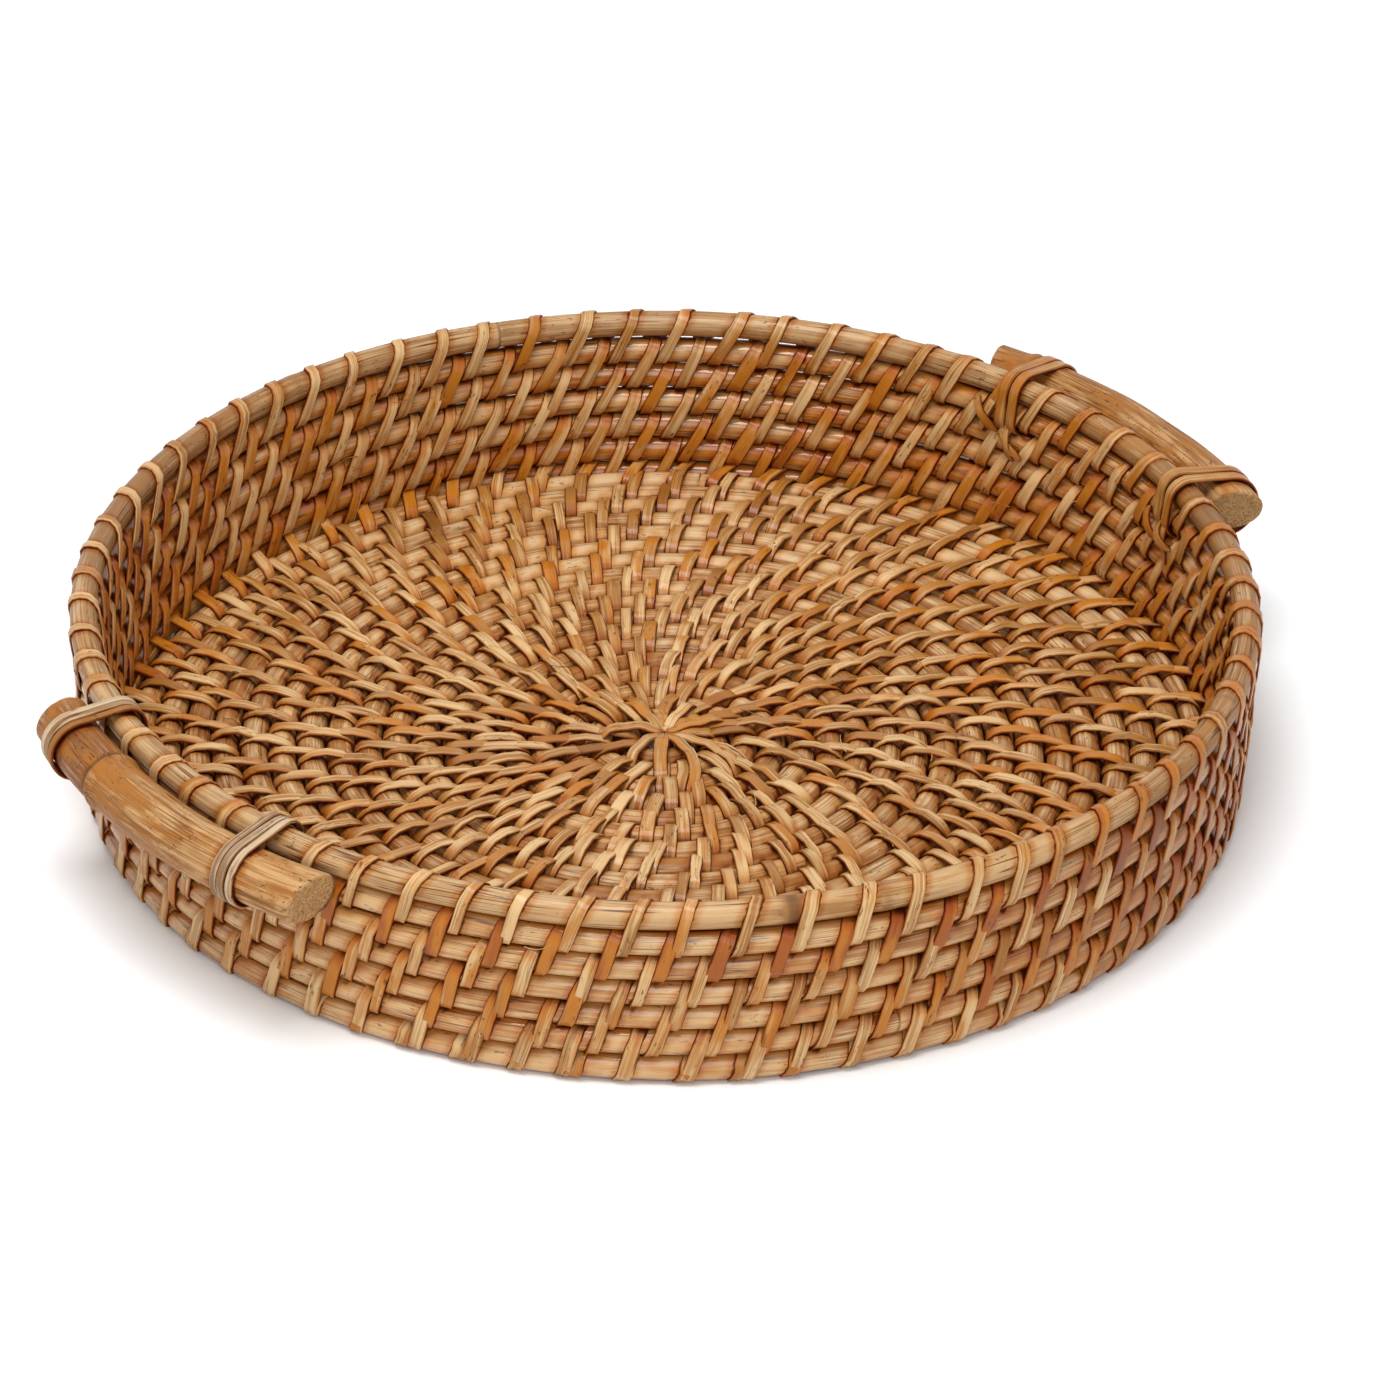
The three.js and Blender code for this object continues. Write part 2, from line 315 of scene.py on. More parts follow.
def caneMaterial(name, look):
    material = bpy.data.materials.new(name)
    material.use_nodes = True
    nodes, links = material.node_tree.nodes, material.node_tree.links
    surface = nodes["Principled BSDF"]
    place = attribute(nodes, "grainPlace").outputs["Vector"]
    fibre = nodes.new("ShaderNodeGroup")
    fibre.node_tree = fibreGroup
    links.new(place, fibre.inputs["Place"])
    fibre.inputs["Fleck Amount"].default_value = look["flecks"]
    fibre.inputs["Split Amount"].default_value = look["splits"]
    honey = nodes.new("ShaderNodeGroup")
    honey.node_tree = honeyGroup
    for label in ("Shade", "Warmth", "Crevice"):
        links.new(attribute(nodes, label.lower()).outputs["Fac"], honey.inputs[label])
    for label in ("Streak", "Fleck", "Split", "Blotch"):
        links.new(fibre.outputs[label], honey.inputs[label])
    for label in ("Pale", "Deep", "Warm", "Rust", "Dark", "Flank_Stain_And_Shade", "Pit"):
        honey.inputs[label].default_value = (*look[label.lower()], 1)
    colour, height = honey.outputs["Color"], fibre.outputs["Height"]
    if "sawn" in look:
        sawn = nodes.new("ShaderNodeGroup")
        sawn.node_tree = sawnGroup
        links.new(place, sawn.inputs["Place"])
        links.new(attribute(nodes, "sawn").outputs["Fac"], sawn.inputs["Mask"])
        links.new(colour, sawn.inputs["Side"])
        sawn.inputs["Face"].default_value = (*look["sawn"], 1)
        sawn.inputs["Pore"].default_value = (*look["warm"], 1)
        colour = sawn.outputs["Color"]
        height = mathNode(nodes, links, "ADD", height, sawn.outputs["Height"])
    if look["crown"]:
        across = attribute(nodes, "across").outputs["Fac"]
        hump = mathNode(nodes, links, "MULTIPLY", across, across)
        # The same hump darkens both edges of a strip: painted shade and stain
        links.new(hump, honey.inputs["Edge"])
        height = mathNode(nodes, links, "MULTIPLY_ADD", hump, -look["crown"], height)
    links.new(colour, surface.inputs["Base Color"])
    rough = nodes.new("ShaderNodeMapRange")
    links.new(fibre.outputs["Streak"], rough.inputs["Value"])
    rough.inputs["To Min"].default_value = look["roughest"]
    rough.inputs["To Max"].default_value = look["smoothest"]
    dull = mathNode(nodes, links, "MULTIPLY_ADD", honey.outputs["StainAndShade"], look["dulled"], rough.outputs["Result"],
                    clamp=True)
    links.new(dull, surface.inputs["Roughness"])
    bump = nodes.new("ShaderNodeBump")
    bump.inputs["Strength"].default_value = look["bump"]
    bump.inputs["Distance"].default_value = look["relief"]
    links.new(height, bump.inputs["Height"])
    links.new(bump.outputs["Normal"], surface.inputs["Normal"])
    surface.inputs["Specular IOR Level"].default_value = look["reflection"]
    surface.inputs["Coat Roughness"].default_value = look["glaze"]
    coat = rangeNode(nodes, links, honey.outputs["StainAndShade"], 0.45, 0.85, look["shine"], 0.0)
    links.new(coat, surface.inputs["Coat Weight"])
    return material


sharedLook = dict(
    dark=(0.085, 0.027, 0.007),          # flecks and splits
    flank_stain_and_shade=(0.85, 0.59, 0.34),             # beside a crevice this much of the colour is kept, as painted shade with varnish stain
    pit=(0.066, 0.006, 0.0003),          # painted shade with varnish stain in the crevices
    rust=(0.32, 0.076, 0.007),           # the reddest strips
    relief=0.0004,                       # height of the grain
    reflection=0.1,                      # of the bare cane under its varnish
    dulled=0.25,                         # how much rougher a place under the crevice stain and shade is
)
# pale, deep and warm are the colours a cane runs between, crown how far its skin falls off towards both edges,
# shine and glaze the strength and roughness of the varnish
caneLooks = {
    "base cane": dict(pale=(0.62, 0.415, 0.215), deep=(0.26, 0.11, 0.034), warm=(0.35, 0.15, 0.034), flecks=0.85,
                      splits=0.8, roughest=0.6, smoothest=0.4, bump=0.5, crown=0, shine=0.22, glaze=0.22),
    "wall cane": dict(pale=(0.62, 0.38, 0.165), deep=(0.33, 0.12, 0.016), warm=(0.47, 0.17, 0.014), flecks=0.8,
                      splits=0.9, roughest=0.5, smoothest=0.3, bump=0.45, crown=0, shine=1.0, glaze=0.12),
    "rim cane": dict(pale=(0.53, 0.33, 0.155), deep=(0.27, 0.13, 0.046), warm=(0.36, 0.155, 0.032), flecks=1.0,
                     splits=1.2, roughest=0.55, smoothest=0.36, bump=0.6, crown=0, shine=0.3, glaze=0.2),
    "binding strip": dict(pale=(0.66, 0.44, 0.21), deep=(0.34, 0.15, 0.034), warm=(0.48, 0.172, 0.013), flecks=1.0,
                          splits=0.6, roughest=0.46, smoothest=0.28, bump=0.45, crown=0.7, shine=0.38, glaze=0.15),
    "handle pole": dict(pale=(0.54, 0.31, 0.125), deep=(0.23, 0.085, 0.022), warm=(0.36, 0.135, 0.022), flecks=1.6,
                        splits=0.8, roughest=0.62, smoothest=0.42, bump=1.0, crown=0, shine=0.15, glaze=0.3,
                        sawn=(0.5, 0.3, 0.13)),
    "weathered lashing": dict(pale=(0.57, 0.42, 0.27), deep=(0.25, 0.145, 0.075), warm=(0.30, 0.125, 0.03),
                              flecks=1.0, splits=1.0, roughest=0.75, smoothest=0.5, bump=0.7, crown=1.1, shine=0.05,
                              glaze=0.4),
    "tan lashing": dict(pale=(0.52, 0.285, 0.095), deep=(0.30, 0.115, 0.022), warm=(0.40, 0.135, 0.012), flecks=0.8,
                        splits=0.8, roughest=0.5, smoothest=0.3, bump=0.5, crown=0.9, shine=0.35, glaze=0.18),
}
for look in caneLooks.values():
    look.update(sharedLook)
finishes = {name: caneMaterial(name, look) for name, look in caneLooks.items()}
print("finishes built")

stripLines = []       # points along every strip, so that the canes can take painted shade and stain beside them
# grainShift keeps the grain of one strip from repeating on the next; the third value is the painted shade and stain
# on the back and lower sides of a strip
stripSkin = {"grainShift": 0.37, "grainDepth": 0.0004, "underShadeAndStain": 0.8}


# Draws the end face of a bar one step on, and takes out the old face where it would be left inside
def drawOn(bar, face, step):
    made = bmesh.ops.extrude_face_region(bar, geom=[face])
    verts = [item for item in made["geom"] if isinstance(item, bmesh.types.BMVert)]
    ahead = next(item for item in made["geom"] if isinstance(item, bmesh.types.BMFace))
    bmesh.ops.translate(bar, verts=verts, vec=(0, 0, step))
    if face.is_valid and face.verts[0].co.z > 1e-5:
        bar.faces.remove(face)
    return verts, ahead


# A straight flat strip with chamfered edges, in steps of one metre
def stripTemplate(stations):
    strip = bmesh.new()
    section = [(-1, 0), (-0.84, 1), (0.84, 1), (1, 0)]
    made = bmesh.ops.create_circle(strip, cap_ends=True, segments=len(section), radius=1.0)
    for vert, (x, y) in zip(made["verts"], section):
        vert.co = (x, y, 0)
    face = strip.faces[:][0]
    for _ in range(stations):
        face = drawOn(strip, face, 1)[1]
    for edge in strip.edges:
        edge.smooth = abs(edge.verts[0].co.z - edge.verts[1].co.z) < 0.5      # crisp along both edges
    bmesh.ops.recalc_face_normals(strip, faces=strip.faces)
    mesh = bpy.data.meshes.new("strip template")
    strip.to_mesh(mesh)
    strip.free()
    return mesh


# Lays the template along many paths at once; every path has a point, an outward direction, a width
# and a thickness at each station, and its own shade, warmth and painted crevice shade and stain there
def layStrips(template, points, outward, widths, thickness, shade, warmth, crevice, grainStart):
    many = points.shape[0]
    spots = np.empty(len(template.vertices) * 3)
    template.vertices.foreach_get("co", spots)
    spots = spots.reshape(-1, 3)
    station = np.rint(spots[:, 2]).astype(int)
    ahead = np.gradient(points, axis=1)
    ahead /= np.linalg.norm(ahead, axis=2, keepdims=True)
    across = np.cross(outward, ahead)
    across /= np.linalg.norm(across, axis=2, keepdims=True)
    face = np.cross(ahead, across)
    skin = (points[:, station]
            + across[:, station] * (spots[:, 0] * widths[:, station] / 2)[..., None]
            + face[:, station] * (spots[:, 1] * thickness[:, station])[..., None])
    skin[..., 2] = np.maximum(skin[..., 2], 0)
    strips = bmesh.new()
    for _ in range(many):
        strips.from_mesh(template)
    mesh = bpy.data.meshes.new("strips")
    strips.to_mesh(mesh)
    strips.free()
    mesh.vertices.foreach_set("co", skin.ravel())
    step = np.linalg.norm(np.diff(points, axis=1), axis=2)
    length = np.concatenate([np.zeros((many, 1)), np.cumsum(step, axis=1)], axis=1)
    grain = np.stack([length[:, station] + grainStart[:, None],
                      spots[:, 0] * widths[:, station] / 2 + grainStart[:, None] * stripSkin["grainShift"],
                      np.broadcast_to(spots[:, 1] * stripSkin["grainDepth"], (many, len(station)))], axis=2)
    paint(mesh, "grainPlace", "FLOAT_VECTOR", grain)
    # The back and lower sides of a strip take painted shade and stain
    under = np.where(spots[:, 1] < 0.5, 1.0, 0.0)
    paint(mesh, "shade", "FLOAT", shade[:, station])
    paint(mesh, "warmth", "FLOAT", warmth[:, station])
    paint(mesh, "crevice", "FLOAT", np.maximum(crevice[:, station], under[None] * stripSkin["underShadeAndStain"]))
    paint(mesh, "across", "FLOAT", np.broadcast_to(spots[:, 0], (many, len(station))))
    mesh.update()
    half = (points[:, 1:] + points[:, :-1]) / 2
    stripLines.extend((points.reshape(-1, 3), half.reshape(-1, 3)))
    return mesh


binding = {
    "turns": [180, 152, 120, 90, 90, 90, 60, 28, 0],                 # direction out of the loop at each station
    "ends": [-1, -1, -1, -1, 0, 1, 1, 1, 1],                         # which cane the station belongs to
    "overPace": [0, 0.03, 0.12, 0.24, 0.5, 0.76, 0.88, 0.97, 1],     # share of the lean used by each station
    "underPace": [0, 0.13, 0.24, 0.35, 0.5, 0.65, 0.76, 0.87, 1],
    "dive": [1, 0.7, 0.3, 0.08, 0.1, 0.08, 0.3, 0.7, 1],             # how deep in a crevice each station lies, and so how much painted shade and stain it takes
    "bow": (1.0, 0.5, 0.1),      # share of the lift between the canes, on top of a cane and round its flank
    "underBow": 0.15,            # how much of that bow there is on the hidden side
    "centreWidth": 0.0049, "baseWidth": 0.0046, "wallWidth": 0.0048, "rimWidth": 0.0045,
    "baseLean": 0.21,            # share of the spacing that a strip travels over the base's top
    "wallLean": 0.52,            # the same over the inside of the wall
    "stray": 0.04,               # how far that share varies; more at the centre of the base
    "chain": 0.37,               # how far each row's stitches sit from the row before
    "baseLift": 0.0010, "wallLift": 0.0003,
    "widthScatter": 0.09, "edgeScatter": 0.03, "thickScatter": 0.1, "shadeScatter": 0.05,
    "nickAbove": 0.985, "nick": 0.8,       # here and there a strip is nicked to this share of its width
    "endShadeAndStain": dict(corner=0.2, lowest=0.3, rim=0.25),      # share of the painted crevice shade and stain that a strip keeps where it lies open at its end
    "rimStitches": 68,
    "centreStitches": 9, "closest": 0.0045,
    "spacingRadius": [0.008, 0.018, 0.04, 0.08, 0.1, 0.123, 0.145, 0.165, 0.19],      # at these radii the stitches
    "spacing": [0.0056, 0.0092, 0.0118, 0.0131, 0.0155, 0.0172, 0.0182, 0.0178, 0.0176],      # lie this far apart
}
loopTemplate = stripTemplate(16)


# One closed loop per stitch round two canes: ends gives both canes' centres and half sizes for any angle,
# and the shares of painted crevice shade and stain say how much of it the loop takes at the first cane and at the
# second
def layLoops(name, starts, spacing, ends, lean, width, lift, tones, nodes=(), shadeAndStainShare=(1, 1),
             stray=binding["stray"]):
    many = len(starts)
    turns = np.radians(np.array(binding["turns"] + [-turn for turn in binding["turns"][::-1][1:]]))
    belongs = np.array(binding["ends"] + binding["ends"][::-1][1:])
    stations = len(turns)
    topLean = (lean + random.normal(0, 1, many) * stray)[:, None]
    over = topLean * np.array(binding["overPace"])[None]
    under = topLean + (1 - topLean) * np.array(binding["underPace"])[None, 1:]
    angle = starts[:, None] - np.concatenate([over, under], axis=1) * spacing[:, None]
    innerR, innerZ, innerHalf, innerTall, outerR, outerZ, outerHalf, outerTall = ends(angle)
    along = np.stack([outerR - innerR, outerZ - innerZ], axis=-1)
    reach = np.linalg.norm(along, axis=-1, keepdims=True)
    along = along / reach
    facing = np.stack([-along[..., 1], along[..., 0]], axis=-1)
    centre = np.stack([outerR + innerR, outerZ + innerZ], axis=-1) / 2
    gap = tray["stripGap"]
    endHalf = np.where(belongs < 0, innerHalf, outerHalf) + gap
    tall = (innerTall * (1 - belongs) + outerTall * (1 + belongs)) / 2 + gap
    between, onTop, onFlank = binding["bow"]
    level = np.abs(np.abs(np.degrees(turns)) - 90) < 1
    bow = np.where(belongs == 0, between, np.where(level, onTop, onFlank))
    rise = np.abs(random.normal(lift, lift * 0.6, (many, 1)))
    tall = tall + rise * bow[None] * np.where(np.sin(turns) > 0, 1.0, binding["underBow"])[None]
    flatPart = belongs[None] * reach[..., 0] / 2
    spot = (centre + along * (flatPart + np.cos(turns)[None] * endHalf * (belongs != 0)[None])[..., None]
            + facing * (np.sin(turns)[None] * tall)[..., None])
    spot[..., 1] = np.maximum(spot[..., 1], tray["stripThickness"] + 0.00002)
    direction = along * np.cos(turns)[None, :, None] + facing * np.sin(turns)[None, :, None]
    cosA, sinA = np.cos(angle), np.sin(angle)
    points = np.stack([spot[..., 0] * cosA, spot[..., 0] * sinA, spot[..., 1]], axis=-1)
    outward = np.stack([direction[..., 0] * cosA, direction[..., 0] * sinA, direction[..., 1]], axis=-1)
    widths = width * random.normal(1, binding["widthScatter"], (many, 1)).clip(0.78, 1.2)
    widths = widths * random.normal(1, binding["edgeScatter"], (many, stations))
    nicked = random.random((many, stations)) > binding["nickAbove"]
    widths = np.where(nicked, widths * binding["nick"], widths)
    thick = tray["stripThickness"] * random.normal(1, binding["thickScatter"], (many, 1)).clip(0.8, 1.2)
    thick = np.repeat(thick, stations, 1)
    shade, warmth = tones(many, starts)
    shade = shade[:, None] + random.normal(0, binding["shadeScatter"], (many, stations))
    # Painted shade and stain where the strip dives in between the canes
    crevice = np.array(binding["dive"] + binding["dive"][::-1][1:])[None] * np.ones((many, 1))
    crevice = crevice * np.where(belongs < 0, shadeAndStainShare[0], np.where(belongs > 0, shadeAndStainShare[1], 1))
    mesh = layStrips(loopTemplate, points, outward, widths, thick, shade, np.repeat(warmth[:, None], stations, 1),
                     crevice, random.uniform(0, 40, many))
    finish(name, mesh, "binding_strip", finishes["binding strip"], *nodes)


# Shade runs from pale to deep and warmth from honey to rust. A strip keeps its colour for a dozen or two stitches
baseStrands = {
    "run": (7, 26), "shade": 0.44, "shadeSpread": (-0.28, 0.3), "warmth": 0.13, "warmest": 0.8,
    "centreDarker": 0.36, "scatter": 0.12, "centreScatter": 0.08,
    "far": (0.04, 0.13), "farDarker": 0.2,        # from how far back the base is darker, and by how much
}
# Single stitches differ a little, and an odd one a lot
oddStitches = {"shade": 0.17, "warmth": 0.12, "darkAbove": 0.955, "darker": (0.3, 0.75), "redder": 0.3,
               "paleBelow": 0.08, "paler": 0.35}


def spliceTones(many, shadeMean, warmMean):
    shade, warmth = np.empty(many), np.empty(many)
    start = 0
    while start < many:
        run = int(random.integers(*baseStrands["run"]))
        shade[start:start + run] = shadeMean + random.uniform(*baseStrands["shadeSpread"])
        warmth[start:start + run] = np.clip(random.exponential(warmMean), 0, baseStrands["warmest"])
        start += run
    return shade, warmth


def scatterTones(shade, warmth):
    many = len(shade)
    shade = shade + random.normal(0, oddStitches["shade"], many)
    warmth = warmth + random.normal(0, oddStitches["warmth"], many)
    odd = random.random(many)
    dark, pale = odd > oddStitches["darkAbove"], odd < oddStitches["paleBelow"]
    shade = shade + np.where(dark, random.uniform(*oddStitches["darker"], many), 0)
    shade = shade - np.where(pale, oddStitches["paler"], 0)
    warmth = warmth + np.where(dark, oddStitches["redder"], 0)
    return shade.clip(-0.25, 1.8), warmth.clip(0, 1)


def baseTones(central):
    def tones(many, starts):
        middleShade = baseStrands["shade"] + baseStrands["centreDarker"] * central
        shade, warmth = scatterTones(*spliceTones(many, middleShade, baseStrands["warmth"]))
        radius = spiral["start"] - pitch * starts / (2 * math.pi)
        far = smoothStep(radius * np.sin(starts), *baseStrands["far"])
        scatter = baseStrands["scatter"] + baseStrands["centreScatter"] * central
        return shade + baseStrands["farDarker"] * far + random.normal(0, scatter, many), warmth
    return tones


# Shade and warmth of each wall strand on the near side, the far left and the far right of the tray
strandTones = {
    7: dict(near=(0.35, 0.1), left=(0.38, 0.45), right=(0.38, 0.5)),      # corner
    6: dict(near=(0.02, 0.02), left=(0.33, 0.6), right=(0.33, 0.6)),
    5: dict(near=(0.48, 0.5), left=(0.25, 0.35), right=(0.38, 0.6)),
    4: dict(near=(0.7, 0.3), left=(-0.1, 0.12), right=(0.1, 0.3)),
    3: dict(near=(0.02, 0.02), left=(0.0, 0.15), right=(0.05, 0.3)),
    2: dict(near=(0.6, 0.9), left=(0.45, 0.5), right=(0.48, 0.35)),
    1: dict(near=(0.3, 0.1), left=(0.2, 0.0), right=(0.5, 0.3)),      # rim
}
# The left of the wall is painted redder, as painted shade colour for its shaded inside, and its right-hand front is
# browner
wallTints = {
    "left": dict(azimuth=3.05, width=0.5, shade=-0.05, warmth=0.35, caneWarmth=0.3),
    "right": dict(azimuth=-0.45, width=0.58, shade=0.75, warmth=0.3, caneShade=1.0, caneWarmth=0.3),
}


def shadedLeft(angle):
    stainAndShade = wallTints["left"]
    return np.exp(-((np.mod(angle, 2 * math.pi) - stainAndShade["azimuth"]) / stainAndShade["width"]) ** 2)


def browned(angle):
    stainAndShade = wallTints["right"]
    turned = np.mod(angle + math.pi, 2 * math.pi) - math.pi
    return np.exp(-((turned - stainAndShade["azimuth"]) / stainAndShade["width"]) ** 2)


def wallTones(row):
    def tones(many, starts):
        look = strandTones[row]
        near = 0.5 - 0.5 * np.tanh(4 * (np.sin(starts) + 0.15))
        right = (1 - near) * (0.5 + 0.5 * np.tanh(4 * (np.cos(starts) + 0.1)))
        left = 1 - near - right
        shade, warmth = (near * look["near"][i] + left * look["left"][i] + right * look["right"][i] for i in (0, 1))
        for stainAndShade, amount in ((wallTints["left"], shadedLeft(starts) * (row > 1)),
                              (wallTints["right"], browned(starts))):
            shade, warmth = shade + stainAndShade["shade"] * amount, warmth + stainAndShade["warmth"] * amount
        return scatterTones(shade, warmth)
    return tones


# Each new stitch goes beside the one a turn earlier, and extra ones go in where they spread apart
def spiralStitches():
    first = binding["centreStitches"]
    turn = 0.15 + np.arange(first) * 2 * math.pi / first
    everyTurn = [turn]
    while turn[-1] < spiralReach + taperReach:
        radius = spiral["start"] + pitch * (turn.mean() / (2 * math.pi) + 1)
        spacing = np.interp(radius, binding["spacingRadius"], binding["spacing"])
        wanted = round(2 * math.pi * radius / spacing)
        turn = turn + 2 * math.pi + binding["chain"] * spacing / radius
        room = np.diff(np.append(turn, turn[0] + 2 * math.pi)) * random.uniform(0.8, 1.25, len(turn))
        widest = np.argsort(room)[::-1][:max(0, wanted - len(turn))]
        middles = turn[widest] + np.diff(np.append(turn, turn[0] + 2 * math.pi))[widest] / 2
        turn = np.sort(np.concatenate([turn, middles]))
        for _ in range(3):
            ring = np.concatenate([[turn[-1] - 2 * math.pi], turn, [turn[0] + 2 * math.pi]])
            turn = 0.5 * turn + 0.25 * (ring[2:] + ring[:-2])
        everyTurn.append(turn)
    wound = np.sort(np.concatenate(everyTurn))
    apart = np.diff(wound) * (spiral["start"] + pitch * wound[:-1] / (2 * math.pi))
    wound = wound[np.append(apart > binding["closest"], True)]
    return wound[(wound > spiral["firstStitch"]) & (wound < spiralReach + taperReach - 0.15)]


# Both canes of a base loop: the turn it is wound on and the one inside it, which at the first turn is the tip
def baseEnds(angle):
    wound = -angle
    outerR, outerZ, outerHalf = spiralCane(wound)
    innerR, innerZ, innerHalf = spiralCane(np.maximum(wound - 2 * math.pi, 0))
    first = wound < 2 * math.pi
    innerR = np.where(first, np.maximum(0.0062, outerR - pitch), innerR)
    innerR = np.where(first, np.minimum(innerR, outerR - 0.0015), innerR)
    tall = np.full_like(innerR, tray["caneRadius"])
    return innerR, innerZ, innerHalf, tall, outerR, outerZ, outerHalf, tall


def buildBaseBinding():
    wound = spiralStitches()
    gaps = np.gradient(wound)
    turn = np.floor(wound / (2 * math.pi)).astype(int)
    for row in range(turn.min(), turn.max() + 1):
        chosen = turn == row
        central = math.exp(-(row / 4.5) ** 2)       # 1 in the middle, where the work is rougher
        jitter = random.normal(0, 0.045 + 0.14 * central, chosen.sum()) * gaps[chosen]
        width = binding["baseWidth"] + (binding["centreWidth"] - binding["baseWidth"]) * central
        layLoops(f"base_binding_{row + 1}", -(wound[chosen] + jitter), gaps[chosen], baseEnds, binding["baseLean"],
                 width, binding["baseLift"], baseTones(central), stray=binding["stray"] + 0.2 * central)


buildBaseBinding()
print("base bound")

# First strips, which run out from the middle like a star: azimuth, reach, and how far each bends to the side
star = {
    "stations": 12, "start": 0.0012, "thickness": 0.0008, "narrow": 0.0026, "width": 0.0050, "arch": 0.0012,
    "clearance": 0.0002, "layer": 0.0002, "upper": 8, "upperLift": 0.0007,      # the first eight lie over the rest
    "ripple": 0.0004, "tuckFrom": 0.84, "tuck": 0.0034,       # each end is tucked in between two canes
    "shade": 0.62, "warmth": 0.15,
    "strips": [(120, 0.0265, 2), (67, 0.023, -4), (20, 0.0245, 7), (336, 0.0345, -17), (308, 0.0385, -24),
               (264, 0.029, 5), (224, 0.0235, 17), (158, 0.0235, 33), (94, 0.0175, 6), (2, 0.018, 4),
               (42, 0.0185, 2)],
}


def buildStar():
    share = np.linspace(0, 1, star["stations"] + 1)
    points, outward, widths, crevice = [], [], [], []
    for index, (azimuth, reach, bend) in enumerate(star["strips"]):
        radius = star["start"] + (reach - star["start"]) * share
        angle = np.radians(azimuth + bend * share ** 1.5)
        lift = star["clearance"] + (star["upperLift"] if index < star["upper"] else 0) + star["layer"] * (index % 3)
        ripple = star["ripple"] * np.cos(2 * math.pi * (radius - spiral["start"]) / pitch)
        tuck = star["tuck"] * smoothStep(share, star["tuckFrom"], 1.0) ** 2
        crown = spiralHeight + tray["caneRadius"] + lift
        height = crown + star["arch"] * np.sin(math.pi * share) + ripple - tuck
        points.append(ringPoints(radius, angle, height))
        slope = np.gradient(height, radius)
        outward.append(np.stack([-slope * np.cos(angle), -slope * np.sin(angle), np.ones_like(angle)], axis=1))
        spread = np.minimum(star["narrow"] + radius * 0.45, star["width"] * random.uniform(0.8, 1.05))
        widths.append(spread * random.normal(1, 0.03, len(share)))
        # Painted shade and stain where each end is tucked in and round the middle
        crevice.append(0.75 * smoothStep(share, 0.86, 1.0) + 0.35 * (1 - smoothStep(radius, 0.001, 0.005)))
    many = len(points)
    tone = np.ones((many, len(share)))
    shade = scatterTones(np.full(many, star["shade"]), np.zeros(many))[0][:, None]
    warmth = star["warmth"] + random.uniform(0, 0.2, (many, 1))
    mesh = layStrips(stripTemplate(star["stations"]), np.array(points), np.array(outward), np.array(widths),
                     star["thickness"] * tone, shade * tone, warmth * tone, np.array(crevice),
                     random.uniform(0, 40, many))
    finish("centre_star", mesh, "binding_strip", finishes["binding strip"], "centre_strips")


buildStar()
print("star laid")


# Both canes of a loop round the corner: the last turn of the base and the lowest wall cane
def cornerEnds(angle):
    lastTurn = spiralReach - 2 * math.pi
    wound = lastTurn + np.mod(-angle - lastTurn, 2 * math.pi)
    edge, height, half = spiralCane(wound)
    innerR = np.where(wound - lastTurn < math.pi, edge + pitch, edge)
    outerR, outerZ = wallCane(tray["wallRows"], angle)
    baseSize = np.full_like(innerR, tray["caneRadius"])
    wallSize = np.full_like(innerR, tray["rowRadius"][-1])
    return innerR, height, baseSize, baseSize, outerR, outerZ, wallSize, wallSize


def wallEnds(row):
    def ends(angle):
        lowerR, lowerZ = wallCane(row + 1, angle)
        upperR, upperZ = wallCane(row, angle)
        lower = np.full_like(lowerR, tray["rowRadius"][row])
        upper = np.full_like(lowerR, tray["rowRadius"][row - 1])
        return lowerR, lowerZ, lower, lower, upperR, upperZ, upper, upper
    return ends


def buildWallBinding():
    count = binding["rimStitches"]
    step = 2 * math.pi / count
    spacing = np.full(count, step)
    firstAngle = np.arange(count) * step
    rows, stainAndShade = tray["wallRows"], binding["endShadeAndStain"]
    layLoops("corner_binding", firstAngle + random.normal(0, 0.05, count) * step, spacing, cornerEnds,
             binding["wallLean"], binding["wallWidth"], binding["wallLift"], wallTones(rows),
             shadeAndStainShare=(1, stainAndShade["corner"]))
    for row in range(rows - 1, 0, -1):
        rim = row == 1
        offset = (rows - row) * binding["chain"] * step
        starts = firstAngle + offset + random.normal(0, 0.035 if rim else 0.06, count) * step
        nodes = tuple(f"rim_binding_{i}" for i in range(1, 5)) if rim else ()
        shadeAndStainShare = (stainAndShade["lowest"] if row == rows - 1 else 1, stainAndShade["rim"] if rim else 1)
        layLoops("rim_binding" if rim else f"wall_binding_{row}", starts, spacing, wallEnds(row),
                 binding["wallLean"], binding["rimWidth" if rim else "wallWidth"], binding["wallLift"],
                 wallTones(row), nodes, shadeAndStainShare)


buildWallBinding()
print("wall bound")

